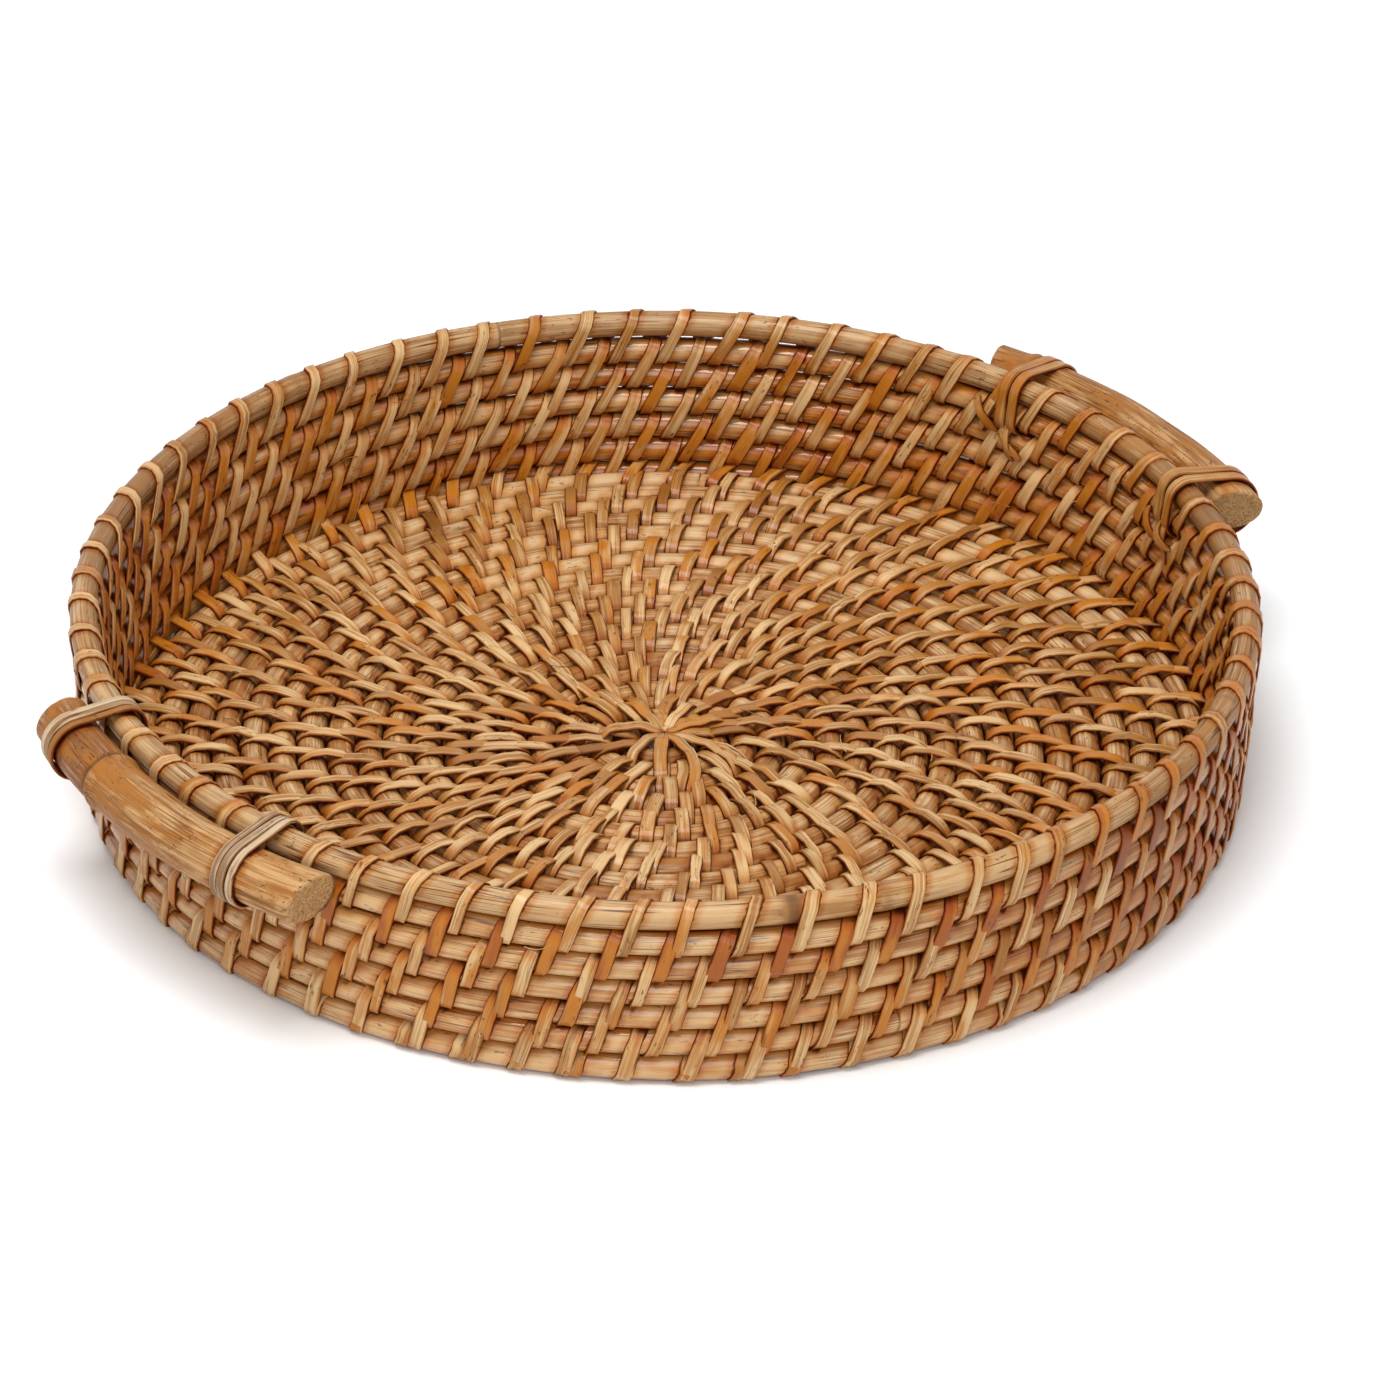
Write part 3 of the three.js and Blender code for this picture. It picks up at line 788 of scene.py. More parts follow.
# Each pair of lashings: stitches counts along the rim to the two gaps that they lie in and place is how far into
# the gap, fan how far the laps spread on the inside; shade and warmth are given lap by lap
lashings = {
    "thickness": 0.0010, "stations": 130,
    "sideRadius": 0.2159, "height": 0.059,       # middle of the poles
    "rounds": (0.0102, 0.0062, 0.0060),          # what a lap lies on: pole, bound rim and bound second row
    "lapRadius": 0.205, "begins": 0.62,          # a lashing begins low on the inside
    "lift": 0.0002, "endLift": 0.0008,           # its last end lies over the other laps
    "front": dict(
        stitches=(38.08, 43), place=0.69, turns=3.15, width=0.0031, fan=(0, 0),
        finish="weathered lashing", slot="lashing_weathered",
        shade=((0.15, 0.05, 0.75, 0.5), (0.85, 0.6, 0.0, 0.1)),
        warmth=((0.0, 0.0, 0.75, 0.6), (0.1, 0.1, 0.0, 0.0))),
    "back": dict(
        stitches=(4, 9), place=0.495, turns=2.25, width=0.0046, fan=(0.5, 0.15),
        finish="tan lashing", slot="lashing_tan",
        shade=((0.35, 0.5, 0.3, 0.3), (0.3, 0.45, 0.3, 0.3)),
        warmth=((0.4, 0.25, 0.3, 0.3), (0.35, 0.5, 0.3, 0.3))),
}
loopStep = 2 * math.pi / binding["rimStitches"]


# Outline that a tight wrap takes round handle, rim and second row, seen along the rim
def wrapOutline(angle):
    rimR, rimZ = wallCane(1, angle)
    rowR, rowZ = wallCane(2, angle)
    middles = ((lashings["sideRadius"], lashings["height"]), (float(rimR), float(rimZ)), (float(rowR), float(rowZ)))
    turns = np.linspace(0, 2 * math.pi, 145)[:-1]
    outline = []
    for turn in turns:
        normal = np.array([math.cos(turn), math.sin(turn)])
        spots = [np.array(spot) + normal * radius for spot, radius in zip(middles, lashings["rounds"])]
        outline.append(max(spots, key=lambda spot: float(spot @ normal)))
    return np.array(outline), turns


def buildLashing(which, index):
    look = lashings[which]
    angle = (look["stitches"][index] + look["place"]) * loopStep
    outline, turns = wrapOutline(angle)
    closed = np.vstack([outline, outline[:1]])
    length = woundLength(closed)
    share = np.linspace(0, look["turns"], lashings["stations"] + 1)
    lap = np.mod(share + lashings["begins"], 1.0) * length[-1]
    x = np.interp(lap, length, closed[:, 0])
    z = np.interp(lap, length, closed[:, 1])
    normal = np.stack([np.interp(lap, length, np.append(np.cos(turns), 1.0)),
                       np.interp(lap, length, np.append(np.sin(turns), 0.0))], axis=1)
    inside = smoothStep(lashings["sideRadius"] - x, 0.004, 0.022)
    drift = (share - look["turns"] / 2) * look["width"] * (1 + look["fan"][index] * inside)
    here = angle + drift / lashings["lapRadius"]
    over = lashings["endLift"] * smoothStep(share, look["turns"] - 0.25, look["turns"] - 0.1)
    ride = lashings["lift"] + over + lashings["lift"] * np.sin(share * 9 + index)
    x, z = x + normal[:, 0] * ride, z + normal[:, 1] * ride
    points = ringPoints(x, here, z)[None]
    outward = np.stack([normal[:, 0] * np.cos(here), normal[:, 0] * np.sin(here), normal[:, 1]], axis=1)[None]
    widths = look["width"] * (1 + 0.07 * np.sin(share * 4 + index) + random.normal(0, 0.02, len(share)))[None]
    thick = np.full((1, len(share)), lashings["thickness"])
    laps = np.arange(len(look["shade"][index]))
    shade = np.interp(share, laps + 0.3, look["shade"][index])[None] + random.normal(0, 0.05, (1, len(share)))
    warmth = np.interp(share, laps + 0.3, look["warmth"][index])[None]
    mesh = layStrips(stripTemplate(lashings["stations"]), points, outward, widths, thick, shade, warmth,
                     np.zeros_like(shade), np.array([17.0 + 5 * index]))
    name = f"lashing_{which}_{index + 1}"
    finish(name, mesh, look["slot"], finishes[look["finish"]], f"{name}_wrap_1", f"{name}_wrap_2", f"{name}_tail")


for which in ("front", "back"):
    for index in (0, 1):
        buildLashing(which, index)
print("lashings wound")

# Tucked tails by each lashing: azimuth and wall row where a tail starts and ends, how far it arches off
# the wall, and its width
tails = {
    "stations": 12, "thickness": 0.0009, "clearance": 0.0010,
    "tip": 0.35,       # share of its width that a tail keeps at the end
    "lashing_back_2_tails": [
        ((54.6, 1.55), (51.9, 2.55), 0.0028, 0.0034), ((52.6, 1.45), (53.9, 2.75), 0.0016, 0.0030),
        ((51.4, 2.6), (48.4, 3.35), 0.0012, 0.0030), ((50.6, 2.35), (49.5, 3.5), 0.0022, 0.0024)],
    "lashing_back_1_tails": [
        ((27.4, 2.1), (24.9, 3.0), 0.0024, 0.0036), ((24.8, 2.3), (22.2, 2.9), 0.0030, 0.0036),
        ((23.6, 2.2), (22.8, 3.6), 0.0014, 0.0030)],
    "lashing_front_1_tails": [((204.9, 2.2), (207.4, 3.2), 0.0016, 0.0032)],
    "lashing_front_2_tails": [((229.2, 2.2), (226.8, 3.1), 0.0016, 0.0032)],
}


def buildTails(name):
    share = np.linspace(0, 1, tails["stations"] + 1)
    points, outward, widths = [], [], []
    for (startAngle, startRow), (endAngle, endRow), arch, width in tails[name]:
        angle = np.radians(startAngle + (endAngle - startAngle) * share)
        row = startRow + (endRow - startRow) * share
        radius, height = wallCane(row, angle)
        radius = radius - tray["rowRadius"][1] - tails["clearance"] - arch * np.sin(math.pi * share) ** 0.8
        points.append(ringPoints(radius, angle, height))
        outward.append(np.stack([-np.cos(angle), -np.sin(angle), 0.25 * np.ones_like(angle)], axis=1))
        widths.append(width * (1 - (1 - tails["tip"]) * np.clip(share * 4 - 3, 0, 1)))
    points, outward, widths = np.array(points), np.array(outward), np.array(widths)
    many = len(points)
    back = "back" in name
    tone = np.ones_like(widths)
    shade = 0.35 + random.normal(0, 0.15, (many, 1))
    warmth = 0.4 if back else 0.1
    mesh = layStrips(stripTemplate(tails["stations"]), points, outward, widths, tails["thickness"] * tone,
                     shade * tone, warmth * tone, 0 * tone, random.uniform(0, 30, many))
    finish(name, mesh, "lashing_tan" if back else "lashing_weathered",
           finishes["tan lashing" if back else "weathered lashing"])


for name in tails:
    if name.startswith("lashing"):
        buildTails(name)
print("tails tucked")


def buildShadeAndStainMap():
    near = np.vstack(stripLines)
    tree = KDTree(len(near))
    for index, spot in enumerate(near):
        tree.insert(spot, index)
    tree.balance()
    return tree


shadeAndStainMap = buildShadeAndStainMap()
# How far light and heavy painted shade and varnish stain reach from the middle of a strip
shadeAndStainReach = {"thin": (0.0024, 0.006), "thick": (0.0021, 0.003), "most": 0.92}
print("stain map ready")


# A round bar along a path of points, with its own half width at each point; both ends are closed.
# touch gives the painted shade and stain on each side where it lies against its neighbours, flat gives its own half
# height, shape how far the section is from round, slant how far the ends lean and sawn which points are on an end
def roundCane(path, radii, sides, grainStart, shade, warmth, touch, flat=None, shape=None, slant=None, sawn=None,
              grainScale=(1, 1, 1)):
    count = len(path)
    bar = bmesh.new()
    bmesh.ops.create_grid(bar, x_segments=sides, y_segments=count - 1, size=1.0)
    mesh = bpy.data.meshes.new("cane")
    bar.to_mesh(mesh)
    spots = np.empty(len(mesh.vertices) * 3)
    mesh.vertices.foreach_get("co", spots)
    spots = spots.reshape(-1, 3)
    station = np.rint((spots[:, 1] + 1) / 2 * (count - 1)).astype(int)
    around = np.pi * (np.rint((spots[:, 0] + 1) / 2 * sides) / sides * 2)
    ahead = np.gradient(path, axis=0)
    ahead /= np.linalg.norm(ahead, axis=1, keepdims=True)
    sideways = np.cross(ahead, (0, 0, 1))
    sideways /= np.linalg.norm(sideways, axis=1, keepdims=True)
    upwards = np.cross(sideways, ahead)
    length = woundLength(path)
    across, rise = np.cos(around), np.sin(around)
    width = radii[station] * (1 if shape is None else shape(length[station], around))
    tall = width if flat is None else flat[station]
    skin = path[station] + sideways[station] * (across * width)[:, None] + upwards[station] * (rise * tall)[:, None]
    if slant is not None:
        skin += ahead[station] * slant(length[station], across * width, rise * tall)[:, None]
    skin[:, 2] = np.maximum(skin[:, 2], 0)
    mesh.vertices.foreach_set("co", skin.ravel())
    # Painted shade and stain on the cane beside each strip
    beside = np.array([shadeAndStainMap.find(spot)[2] for spot in skin])
    stainAndShade = np.maximum(0.5 - 0.5 * smoothStep(beside, *shadeAndStainReach["thin"]),
                       shadeAndStainReach["most"] - shadeAndStainReach["most"] * smoothStep(beside, *shadeAndStainReach["thick"]))
    grain = np.stack([length[station] + grainStart, across * width, rise * tall], axis=1)
    paint(mesh, "grainPlace", "FLOAT_VECTOR", grain * grainScale)
    paint(mesh, "shade", "FLOAT", np.broadcast_to(np.asarray(shade, float), (count,))[station])
    paint(mesh, "warmth", "FLOAT", np.broadcast_to(np.asarray(warmth, float), (count,))[station])
    paint(mesh, "crevice", "FLOAT", np.maximum(stainAndShade, touch(across, rise)))
    if sawn is not None:
        paint(mesh, "sawn", "FLOAT", sawn[station])
    bar.clear()
    bar.from_mesh(mesh)
    bmesh.ops.remove_doubles(bar, verts=bar.verts, dist=1e-6)
    bmesh.ops.holes_fill(bar, edges=[edge for edge in bar.edges if edge.is_boundary], sides=0)
    bmesh.ops.recalc_face_normals(bar, faces=bar.faces)
    bar.to_mesh(mesh)
    bar.free()
    return mesh


# Painted shade and varnish stain where two canes touch: light on the flank, heavy in the crevice
def touchShadeAndStain(flank, low=0.5, crevice=0.92):
    return np.maximum(0.5 * smoothStep(flank, low, 0.97), smoothStep(flank, crevice, 1.0))


# A cane swells a little at each node, every hand's width or so, and is darker there
caneNodes = {"first": (0.02, 0.25), "apart": (0.12, 0.3), "swell": 0.00025, "swellReach": 0.0035,
             "tint": 0.5, "tintReach": 0.0016}


def nodeSwell(length, seed):
    local = np.random.default_rng(seed)
    swell = np.zeros_like(length)
    tint = np.zeros_like(length)
    spot = local.uniform(*caneNodes["first"])
    while spot < length[-1]:
        swell += caneNodes["swell"] * np.exp(-((length - spot) / caneNodes["swellReach"]) ** 2)
        tint += caneNodes["tint"] * np.exp(-((length - spot) / caneNodes["tintReach"]) ** 2)
        spot += local.uniform(*caneNodes["apart"])
    return swell, tint


# Changes of colour along a cane, some slow and some quick: a new tone every 12 to 90 mm, and spare ones at the end
def toneAlong(length, seed, middleShade, spread):
    local = np.random.default_rng(seed)
    knots = np.concatenate(([0], np.cumsum(local.uniform(0.012, 0.09, int(length[-1] / 0.05) + 4))))
    tones = middleShade + local.normal(0, spread, len(knots))
    return np.interp(length, knots, tones)


baseCanes = {
    "pieces": 6, "step": 0.0013, "sides": 12,
    "gap": 0.0005, "gapRadius": 0.15,              # daylight at each splice, turned to an angle at this radius
    "paredTurn": 0.9, "pared": 0.45,               # the first tip is thinner over this angle, by this share
    "endHeight": 0.0042,                           # half height of the thinned-out end
    "innerShade": 0.34, "outerShade": 0.47, "darkens": (0.04, 0.12),        # over these radii
    "warmth": 0.18, "nodeShade": 0.6, "shadeAndVarnish": 0.88,
    "far": (0.055, 0.14), "farPaler": 0.6, "farCooler": 0.3,       # the far side of the base is paler
}


def buildBaseCanes():
    totalSteps = round(spiralTurns * 24)
    pieces = baseCanes["pieces"]
    edges = [round(totalSteps * math.sqrt(i / pieces)) / totalSteps * spiralReach for i in range(pieces + 1)]
    edges.append(spiralReach + taperReach)
    grow = pitch / (2 * math.pi)

    def reached(wound):
        return spiral["start"] * wound + grow * wound ** 2 / 2

    for i in range(pieces + 1):
        start, end = edges[i], edges[i + 1] - baseCanes["gap"] / baseCanes["gapRadius"]
        run = np.linspace(reached(start), reached(end), int((reached(end) - reached(start)) / baseCanes["step"]))
        wound = (np.sqrt(spiral["start"] ** 2 + 2 * grow * run) - spiral["start"]) / grow
        radius, height, half = spiralCane(wound)
        path = ringPoints(radius, -wound, height)
        if i == 0:
            half = half * (1 - baseCanes["pared"] * np.clip(1 - wound / baseCanes["paredTurn"], 0, 1) ** 2)
        length = woundLength(path)
        swell, tint = nodeSwell(length, 40 + i)
        radii = half + swell * (half > 0.004) + waver(length * 60, i, 0.00003)
        if i < pieces:
            name, flat = f"base_cane_{i + 1}", np.minimum(radii, tray["caneRadius"])
        else:
            name, flat = "base_cane_end", np.full_like(radii, baseCanes["endHeight"])
        outer = smoothStep(radius, *baseCanes["darkens"])
        middleShade = baseCanes["innerShade"] + (baseCanes["outerShade"] - baseCanes["innerShade"]) * outer
        tone = toneAlong(length, 70 + i, 0, 0.26) + middleShade + tint * baseCanes["nodeShade"]
        warmth = toneAlong(length, 80 + i, baseCanes["warmth"], 0.14)
        far = smoothStep(path[:, 1], *baseCanes["far"])
        tone, warmth = tone - baseCanes["farPaler"] * far, warmth - baseCanes["farCooler"] * far
        # Painted shade and stain on both sides, where the turns touch
        mesh = roundCane(path, radii, baseCanes["sides"], 3.7 * i, tone, warmth,
                         lambda across, rise: baseCanes["shadeAndVarnish"] * touchShadeAndStain(np.abs(across), 0.5, 0.95), flat)
        finish(f"base_cane_part_{i + 1}", mesh, "base_cane", finishes["base cane"], name)


buildBaseCanes()
print("base canes laid")

wallCanes = {
    "steps": 980, "sides": 16, "shade": 0.24, "rimSteps": 1100, "rimSides": 22, "rimShade": 0.26,
    "warmth": [0.05, 0.3, 0.18, 0.18, 0.3, 0.42, 0.5],       # rim first, then down the wall
    "nearPaler": 0.3, "nearCooler": 0.75,
    "rimWorn": (0.6, 0.95), "rimWarmth": 0.2,                # the rim is browner at the far left and right
    "rimBruise": dict(azimuth=4.927, width=0.016, shade=1.8),       # a dark spot on the near side of the rim
}


def buildWallCanes():
    for row in range(1, tray["wallRows"] + 1):
        rim = row == 1
        start = row * 1.9
        angle = start + np.linspace(0, 2 * math.pi - 0.003, wallCanes["rimSteps" if rim else "steps"] + 1)
        radius, height = wallCane(row, angle)
        path = ringPoints(radius, angle, height)
        length = woundLength(path)
        swell, tint = nodeSwell(length, 90 + row)
        radii = tray["rowRadius"][row - 1] + swell + waver(length * 9, row, 0.00005)
        # The near side is paler and cooler; the warmer colour of the rest of the wall is painted shade colour for
        # its shaded inside
        near = 0.5 - 0.5 * np.tanh(3 * np.sin(angle))
        tone = toneAlong(length, 110 + row, wallCanes["rimShade" if rim else "shade"], 0.26)
        tone = tone - wallCanes["nearPaler"] * near + tint
        warmth = toneAlong(length, 120 + row, wallCanes["warmth"][row - 1], 0.14)
        warmth = warmth * (1 - wallCanes["nearCooler"] * near)
        if rim:
            worn = np.where(np.cos(angle) < 0, *wallCanes["rimWorn"])
            bruise = wallCanes["rimBruise"]
            away = np.mod(angle, 2 * math.pi) - bruise["azimuth"]
            tone = tone + worn * smoothStep(np.abs(np.cos(angle)), 0.55, 0.95)
            tone = tone + bruise["shade"] * np.exp(-(away / bruise["width"]) ** 2)
            warmth = warmth + wallCanes["rimWarmth"] * smoothStep(np.cos(angle), 0.5, 0.95)
            # Painted shade and stain over the lower half of the rim, where it sits on the second row
            mesh = roundCane(path, radii, wallCanes["rimSides"], 11.0, tone, warmth,
                             lambda across, rise: touchShadeAndStain(-rise, 0.0))
            finish("rim_cane_round", mesh, "rim_cane", finishes["rim cane"], "rim_cane")
        else:
            # The left takes painted shade colour, and the right-hand front is browner
            left, right = wallTints["left"], wallTints["right"]
            tone = tone + right["caneShade"] * browned(angle)
            warmth = warmth + left["caneWarmth"] * shadedLeft(angle) + right["caneWarmth"] * browned(angle)
            # Painted shade and stain above and below, where the rows touch
            mesh = roundCane(path, radii, wallCanes["sides"], 11.0 + 2.3 * row, tone, warmth,
                             lambda across, rise: touchShadeAndStain(np.abs(rise), 0.6, 0.95))
            finish(f"wall_cane_round_{row}", mesh, "wall_cane", finishes["wall cane"], f"wall_cane_{row}")


buildWallCanes()
print("wall canes laid")

# Each pole: joint is where its node lies along it, slant how each sawn end leans, sideways and upwards; shade and
# warmth run from one end to the other
handles = {
    "front": dict(node="handle_front", span=(200.3, 238.6), joint=0.32, shade=(1.25, -0.25), warmth=(0.3, 0.1),
                  slant=((0.25, 0.3), (-0.3, 0.25)), seed=3.0),
    "back": dict(node="handle_back", span=(21.4, 56.6), joint=0.88, shade=(0.5, 0.55), warmth=(0.22, 0.3),
                 slant=((-0.3, -0.35), (0.2, -0.1)), seed=8.0),
    "radius": 0.0098, "steps": 150, "sides": 40, "slantReach": 0.012, "slenderer": 0.03, "shadeAndVarnish": 0.8,
    "capRings": (0.02, 0.3, 0.6, 0.84, 0.95),       # rings on a sawn end, as shares of the radius
    "ridge": dict(rise=0.0010, width=0.0024),       # round the node
    "groove": dict(depth=0.0008, width=0.0012, shade=1.1, warmth=0.35),      # beside it, with a dark line
    "grainScale": (1.8, 1.1, 1.1),
}


def buildHandle(which):
    look = handles[which]
    low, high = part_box(look["node"])
    seed = look["seed"]
    rings = len(handles["capRings"])
    share = np.linspace(0, 1, handles["steps"])
    tiny = np.arange(rings) * 1e-5
    share = np.concatenate([tiny, share[1:-1] * 0.998 + 0.001, 1 - tiny[::-1]])
    scale = np.ones_like(share)
    scale[:rings] = handles["capRings"]
    scale[-rings:] = scale[:rings][::-1]
    sawn = np.where(scale < 0.9, 1.0, 0.0)
    angle = np.radians(look["span"][0] + (look["span"][1] - look["span"][0]) * share)
    path = ringPoints(np.full_like(angle, lashings["sideRadius"]), angle, (low.z + high.z) / 2)
    length = woundLength(path)
    total = length[-1]
    away = length - look["joint"] * total
    ridge, groove = handles["ridge"], handles["groove"]
    radii = handles["radius"] * (1 + 0.015 * np.sin(share * 9 + seed) + 0.01 * np.sin(share * 23 + seed)
                                 - handles["slenderer"] * smoothStep(-away, 0, 0.02))
    radii += (ridge["rise"] * np.exp(-(away / ridge["width"]) ** 2)
              - groove["depth"] * np.exp(-((away + 0.0034) / groove["width"]) ** 2))
    radii = radii * scale
    ramp = look["shade"][0] + (look["shade"][1] - look["shade"][0]) * smoothStep(share, 0.2, 0.8)
    tone = ramp + toneAlong(length, int(seed), 0, 0.16)
    tone = tone + groove["shade"] * np.exp(-((away + 0.003) / groove["width"]) ** 2)
    warmth = look["warmth"][0] + (look["warmth"][1] - look["warmth"][0]) * share
    warmth = warmth + groove["warmth"] * np.exp(-((away - 0.008) / 0.008) ** 2)

    def shape(run, around):
        lumps = 0.018 * np.sin(2 * around + run * 30 + seed) + 0.014 * np.sin(3 * around - run * 55 + seed)
        ridges = 0.006 * np.sin(9 * around + 2 * np.sin(run * 40)) + 0.004 * np.sin(17 * around + run * 60)
        return 1 + lumps + ridges

    def slant(run, across, rise):
        first, last = look["slant"]
        atFirst = 1 - smoothStep(run, 0, handles["slantReach"])
        atLast = 1 - smoothStep(total - run, 0, handles["slantReach"])
        rough = 0.00025 * np.sin(across * 2600 + seed) * np.sin(rise * 2100) * (atFirst + atLast > 0.999)
        lean = atFirst * (across * first[0] + rise * first[1]) + atLast * (across * last[0] + rise * last[1])
        return lean + rough

    # Painted shade and stain on the inner lower side, where the pole lies against the rim
    def touch(across, rise):
        return handles["shadeAndVarnish"] * smoothStep(-across - 0.5 * rise, 0.6, 1.0)

    mesh = roundCane(path, radii, handles["sides"], 50 + seed, tone, warmth, touch, None, shape, slant, sawn,
                     handles["grainScale"])
    finish(f"handle_pole_{which}", mesh, "handle_pole", finishes["handle pole"], look["node"])


for which in ("front", "back"):
    buildHandle(which)
print("handles made")

# Each step of the tip: how far it rises and how much it widens or narrows
centreTip = {
    "radius": 0.0029, "foot": 0.0002,
    "steps": ((0.0006, 1.08), (0.0075, 1.0), (0.0012, 0.6), (0.0003, 0.3)),
    # the whole tip takes some of the painted crevice shade and stain
    "shade": 0.6, "warmth": 0.3, "crevice": 0.3,
}


def buildCentreTip():
    tip = bmesh.new()
    bmesh.ops.create_circle(tip, cap_ends=True, segments=12, radius=centreTip["radius"])
    face = tip.faces[:][0]
    for rise, scale in centreTip["steps"]:
        verts, face = drawOn(tip, face, rise)
        bmesh.ops.scale(tip, verts=verts, vec=(scale, scale, 1))
    bmesh.ops.translate(tip, verts=tip.verts, vec=(0, 0, centreTip["foot"]))
    bmesh.ops.recalc_face_normals(tip, faces=tip.faces)
    mesh = bpy.data.meshes.new("centre tip")
    tip.to_mesh(mesh)
    tip.free()
    spots = np.array([vert.co for vert in mesh.vertices])
    paint(mesh, "grainPlace", "FLOAT_VECTOR", spots[:, [2, 0, 1]])
    for name in ("shade", "warmth", "crevice"):
        paint(mesh, name, "FLOAT", np.full(len(spots), centreTip[name]))
    finish("centre_tip_pared", mesh, "base_cane", finishes["base cane"], "centre_tip")


buildCentreTip()
print("centre tip set")

# Thin fibres that have lifted from the strips: a few dozen over the inside and the outside of the tray
fibres = {"count": 46, "stations": 8, "width": 0.00035, "thickness": 0.0002, "shortest": 0.006, "longest": 0.016,
          "clearance": 0.0012, "lift": 0.0035, "baseReach": 0.17}


def buildLooseFibres():
    many = fibres["count"]
    share = np.linspace(0, 1, fibres["stations"] + 1)[None]
    angle = random.uniform(0, 2 * math.pi, (many, 1))
    long = random.uniform(fibres["shortest"], fibres["longest"], (many, 1))
    onBase = (np.arange(many) % 3 == 0)[:, None]
    outside = (np.arange(many) % 3 == 1)[:, None]
    row = random.uniform(1.4, 6.6, (many, 1))
    wallR, wallZ = wallCane(row, angle)
    side = np.where(outside, 1.0, -1.0)
    baseR = np.sqrt(random.uniform(0.02, 1, (many, 1))) * fibres["baseReach"]
    curl = random.normal(0, 0.6, (many, 1))
    turned = random.uniform(-0.9, 0.9, (many, 1))
    lifted = fibres["clearance"] + fibres["lift"] * random.uniform(0.2, 1, (many, 1)) * share ** 1.6
    sweep = long * share * np.cos(turned + curl * share)
    climb = long * share * np.sin(turned + curl * share)
    radius = np.where(onBase, baseR + climb, wallR + side * (tray["caneRadius"] + lifted))
    height = np.where(onBase, spiralHeight + tray["caneRadius"] + lifted, wallZ + climb)
    here = angle + sweep / np.maximum(radius, 0.02)
    points = np.stack([radius * np.cos(here), radius * np.sin(here), height], axis=-1)
    outward = np.where(onBase[..., None], np.array([0, 0, 1.0]),
                       np.stack([side * np.cos(here), side * np.sin(here), 0 * here], axis=-1))
    tone = np.ones_like(here)
    widths = fibres["width"] * (1 - 0.7 * share) * random.uniform(0.7, 1.5, (many, 1))
    shade = random.uniform(-0.1, 0.8, (many, 1)) * tone
    warmth = random.uniform(0, 0.6, (many, 1)) * tone
    mesh = layStrips(stripTemplate(fibres["stations"]), points, outward, widths, fibres["thickness"] * tone,
                     shade, warmth, 0 * tone, random.uniform(0, 30, many))
    finish("loose_fibres", mesh, "binding_strip", finishes["binding strip"])


buildLooseFibres()
print("loose fibres added")

view = {"position": (0.00812, -2.08040, 1.29180), "elevation": 31.25, "roll": 0.935, "lens": 183.14, "sensor": 36}


def buildCamera():
    data = bpy.data.cameras.new("camera")
    data.lens = view["lens"]
    data.sensor_width = view["sensor"]
    data.clip_end = 50
    camera = bpy.data.objects.new("camera", data)
    bpy.context.scene.collection.objects.link(camera)
    tilt = math.radians(view["elevation"])
    forward = Vector((0, math.cos(tilt), -math.sin(tilt)))
    right = Vector((1, 0, 0))
    upward = right.cross(forward)
    roll = math.radians(view["roll"])
    across = right * math.cos(roll) + upward * math.sin(roll)
    above = upward * math.cos(roll) - right * math.sin(roll)
    turn = Matrix((across, above, -forward)).transposed().to_4x4()
    camera.matrix_world = Matrix.Translation(view["position"]) @ turn
    bpy.context.scene.camera = camera


buildCamera()

# The floor and the world have one colour for the light they throw and one for how they look
studio = {
    "floorColor": 0.86, "floorSeen": (0.965, 0.988, 1.0), "worldLight": 0.47, "worldSeen": 1.0,
    "floorRadius": 1.4, "floorDrop": 0.0002, "aim": (0, 0, 0.03),
    "key": dict(position=(-0.34, -0.62, 2.6), size=1.6, power=54.5),
    "fill": dict(position=(0.1, -2.3, 1.5), size=1.8, power=20),
    "back": dict(position=(-0.8, 1.3, 2.0), size=1.2, power=4),
}


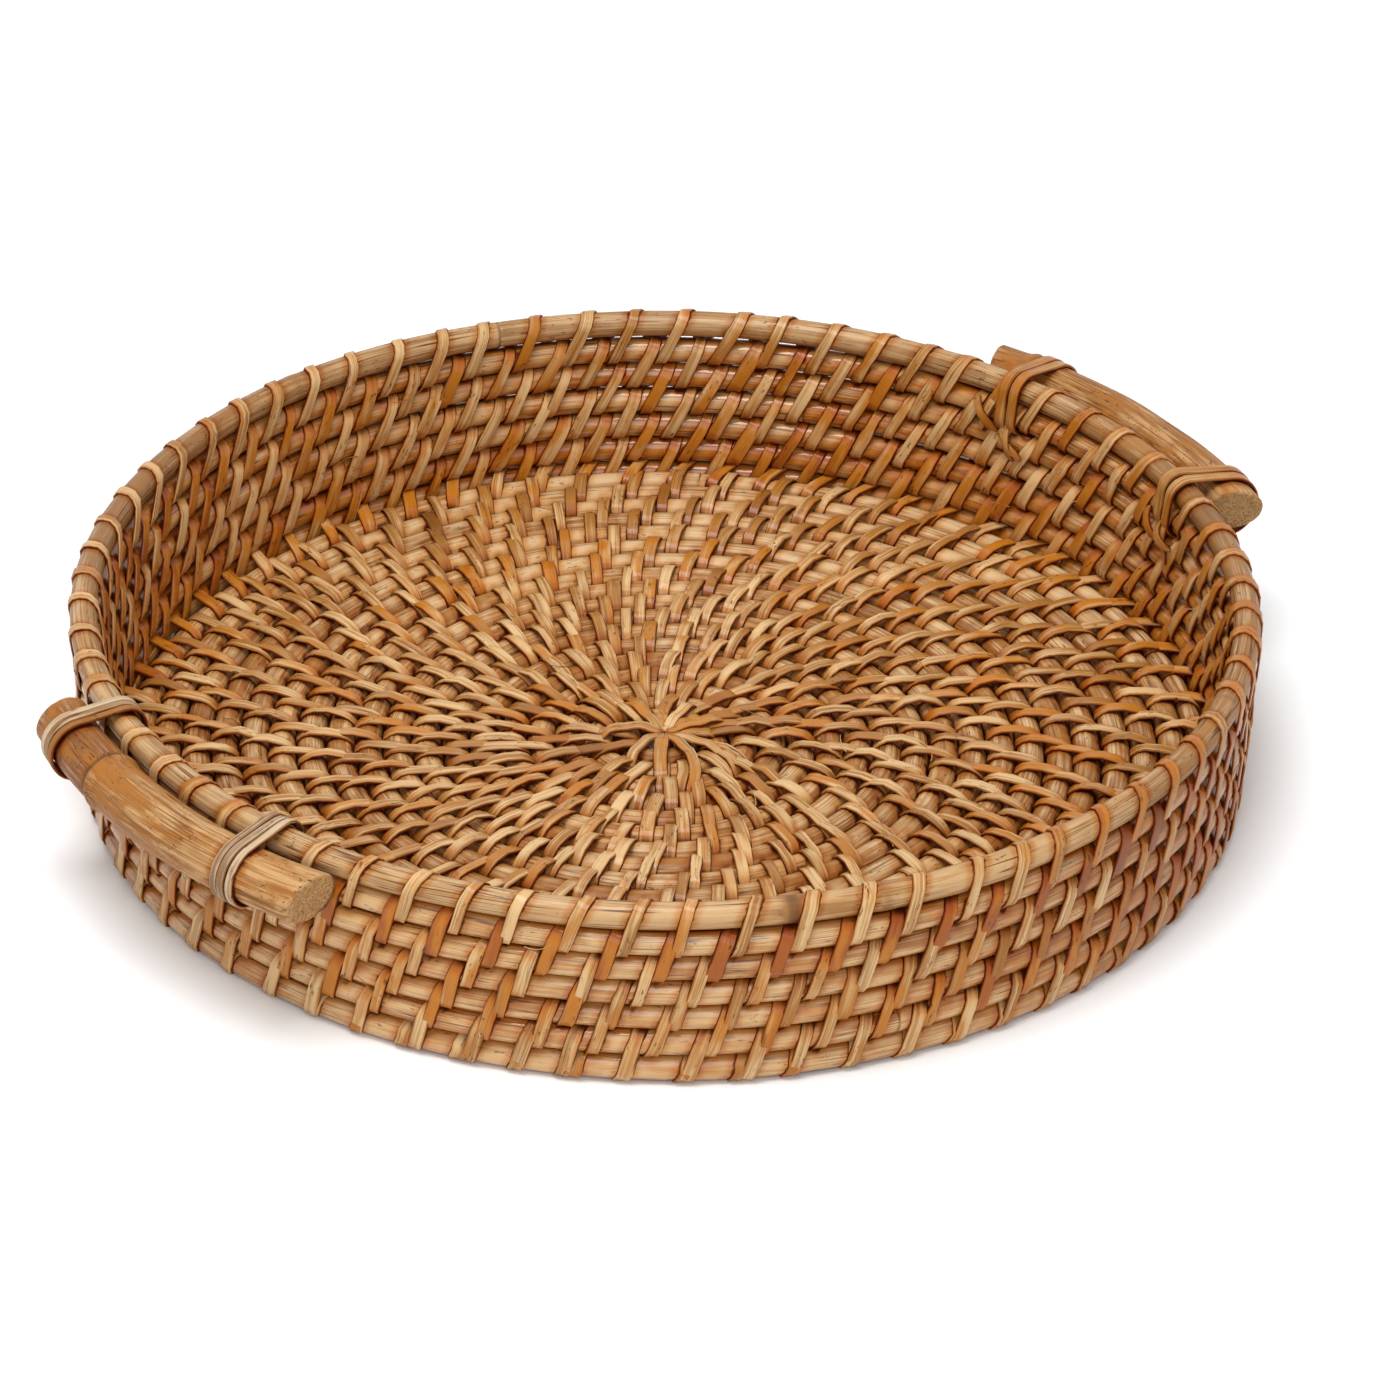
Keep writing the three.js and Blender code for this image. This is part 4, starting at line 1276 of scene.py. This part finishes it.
def buildFloor():
    floor = bmesh.new()
    bmesh.ops.create_circle(floor, cap_ends=True, segments=96, radius=studio["floorRadius"])
    mesh = bpy.data.meshes.new("floor")
    floor.to_mesh(mesh)
    floor.free()
    piece = bpy.data.objects.new("floor", mesh)
    bpy.context.scene.collection.objects.link(piece)
    piece.location.z = -studio["floorDrop"]
    material = bpy.data.materials.new("paper floor")
    material.use_nodes = True
    nodes, links = material.node_tree.nodes, material.node_tree.links
    surface = nodes["Principled BSDF"]
    surface.inputs["Roughness"].default_value = 0.9
    surface.inputs["Specular IOR Level"].default_value = 0.1
    seen = nodes.new("ShaderNodeLightPath")
    colour = mixNode(nodes, links, seen.outputs["Is Camera Ray"], (studio["floorColor"],) * 3, studio["floorSeen"])
    links.new(colour, surface.inputs["Base Color"])
    mesh.materials.append(material)


def buildLamp(name):
    look = studio[name]
    data = bpy.data.lights.new(name, "AREA")
    data.shape = "DISK"
    data.size = look["size"]
    data.energy = look["power"]
    lamp = bpy.data.objects.new(name, data)
    bpy.context.scene.collection.objects.link(lamp)
    lamp.location = look["position"]
    lamp.rotation_euler = (Vector(studio["aim"]) - lamp.location).to_track_quat("-Z", "Y").to_euler()


def buildWorld():
    world = bpy.data.worlds.new("studio")
    bpy.context.scene.world = world
    world.use_nodes = True
    nodes, links = world.node_tree.nodes, world.node_tree.links
    background = nodes["Background"]
    background.inputs["Color"].default_value = (1, 1, 1, 1)
    seen = nodes.new("ShaderNodeLightPath")
    shown = mathNode(nodes, links, "MAXIMUM", seen.outputs["Is Camera Ray"], seen.outputs["Is Glossy Ray"])
    shown = mathNode(nodes, links, "MAXIMUM", shown, seen.outputs["Is Transmission Ray"])
    strength = nodes.new("ShaderNodeMapRange")
    links.new(shown, strength.inputs["Value"])
    strength.inputs["To Min"].default_value = studio["worldLight"]
    strength.inputs["To Max"].default_value = studio["worldSeen"]
    links.new(strength.outputs["Result"], background.inputs["Strength"])


buildFloor()
for name in ("key", "fill", "back"):
    buildLamp(name)
buildWorld()
bpy.context.scene.view_settings.view_transform = "Standard"
print("studio lit")
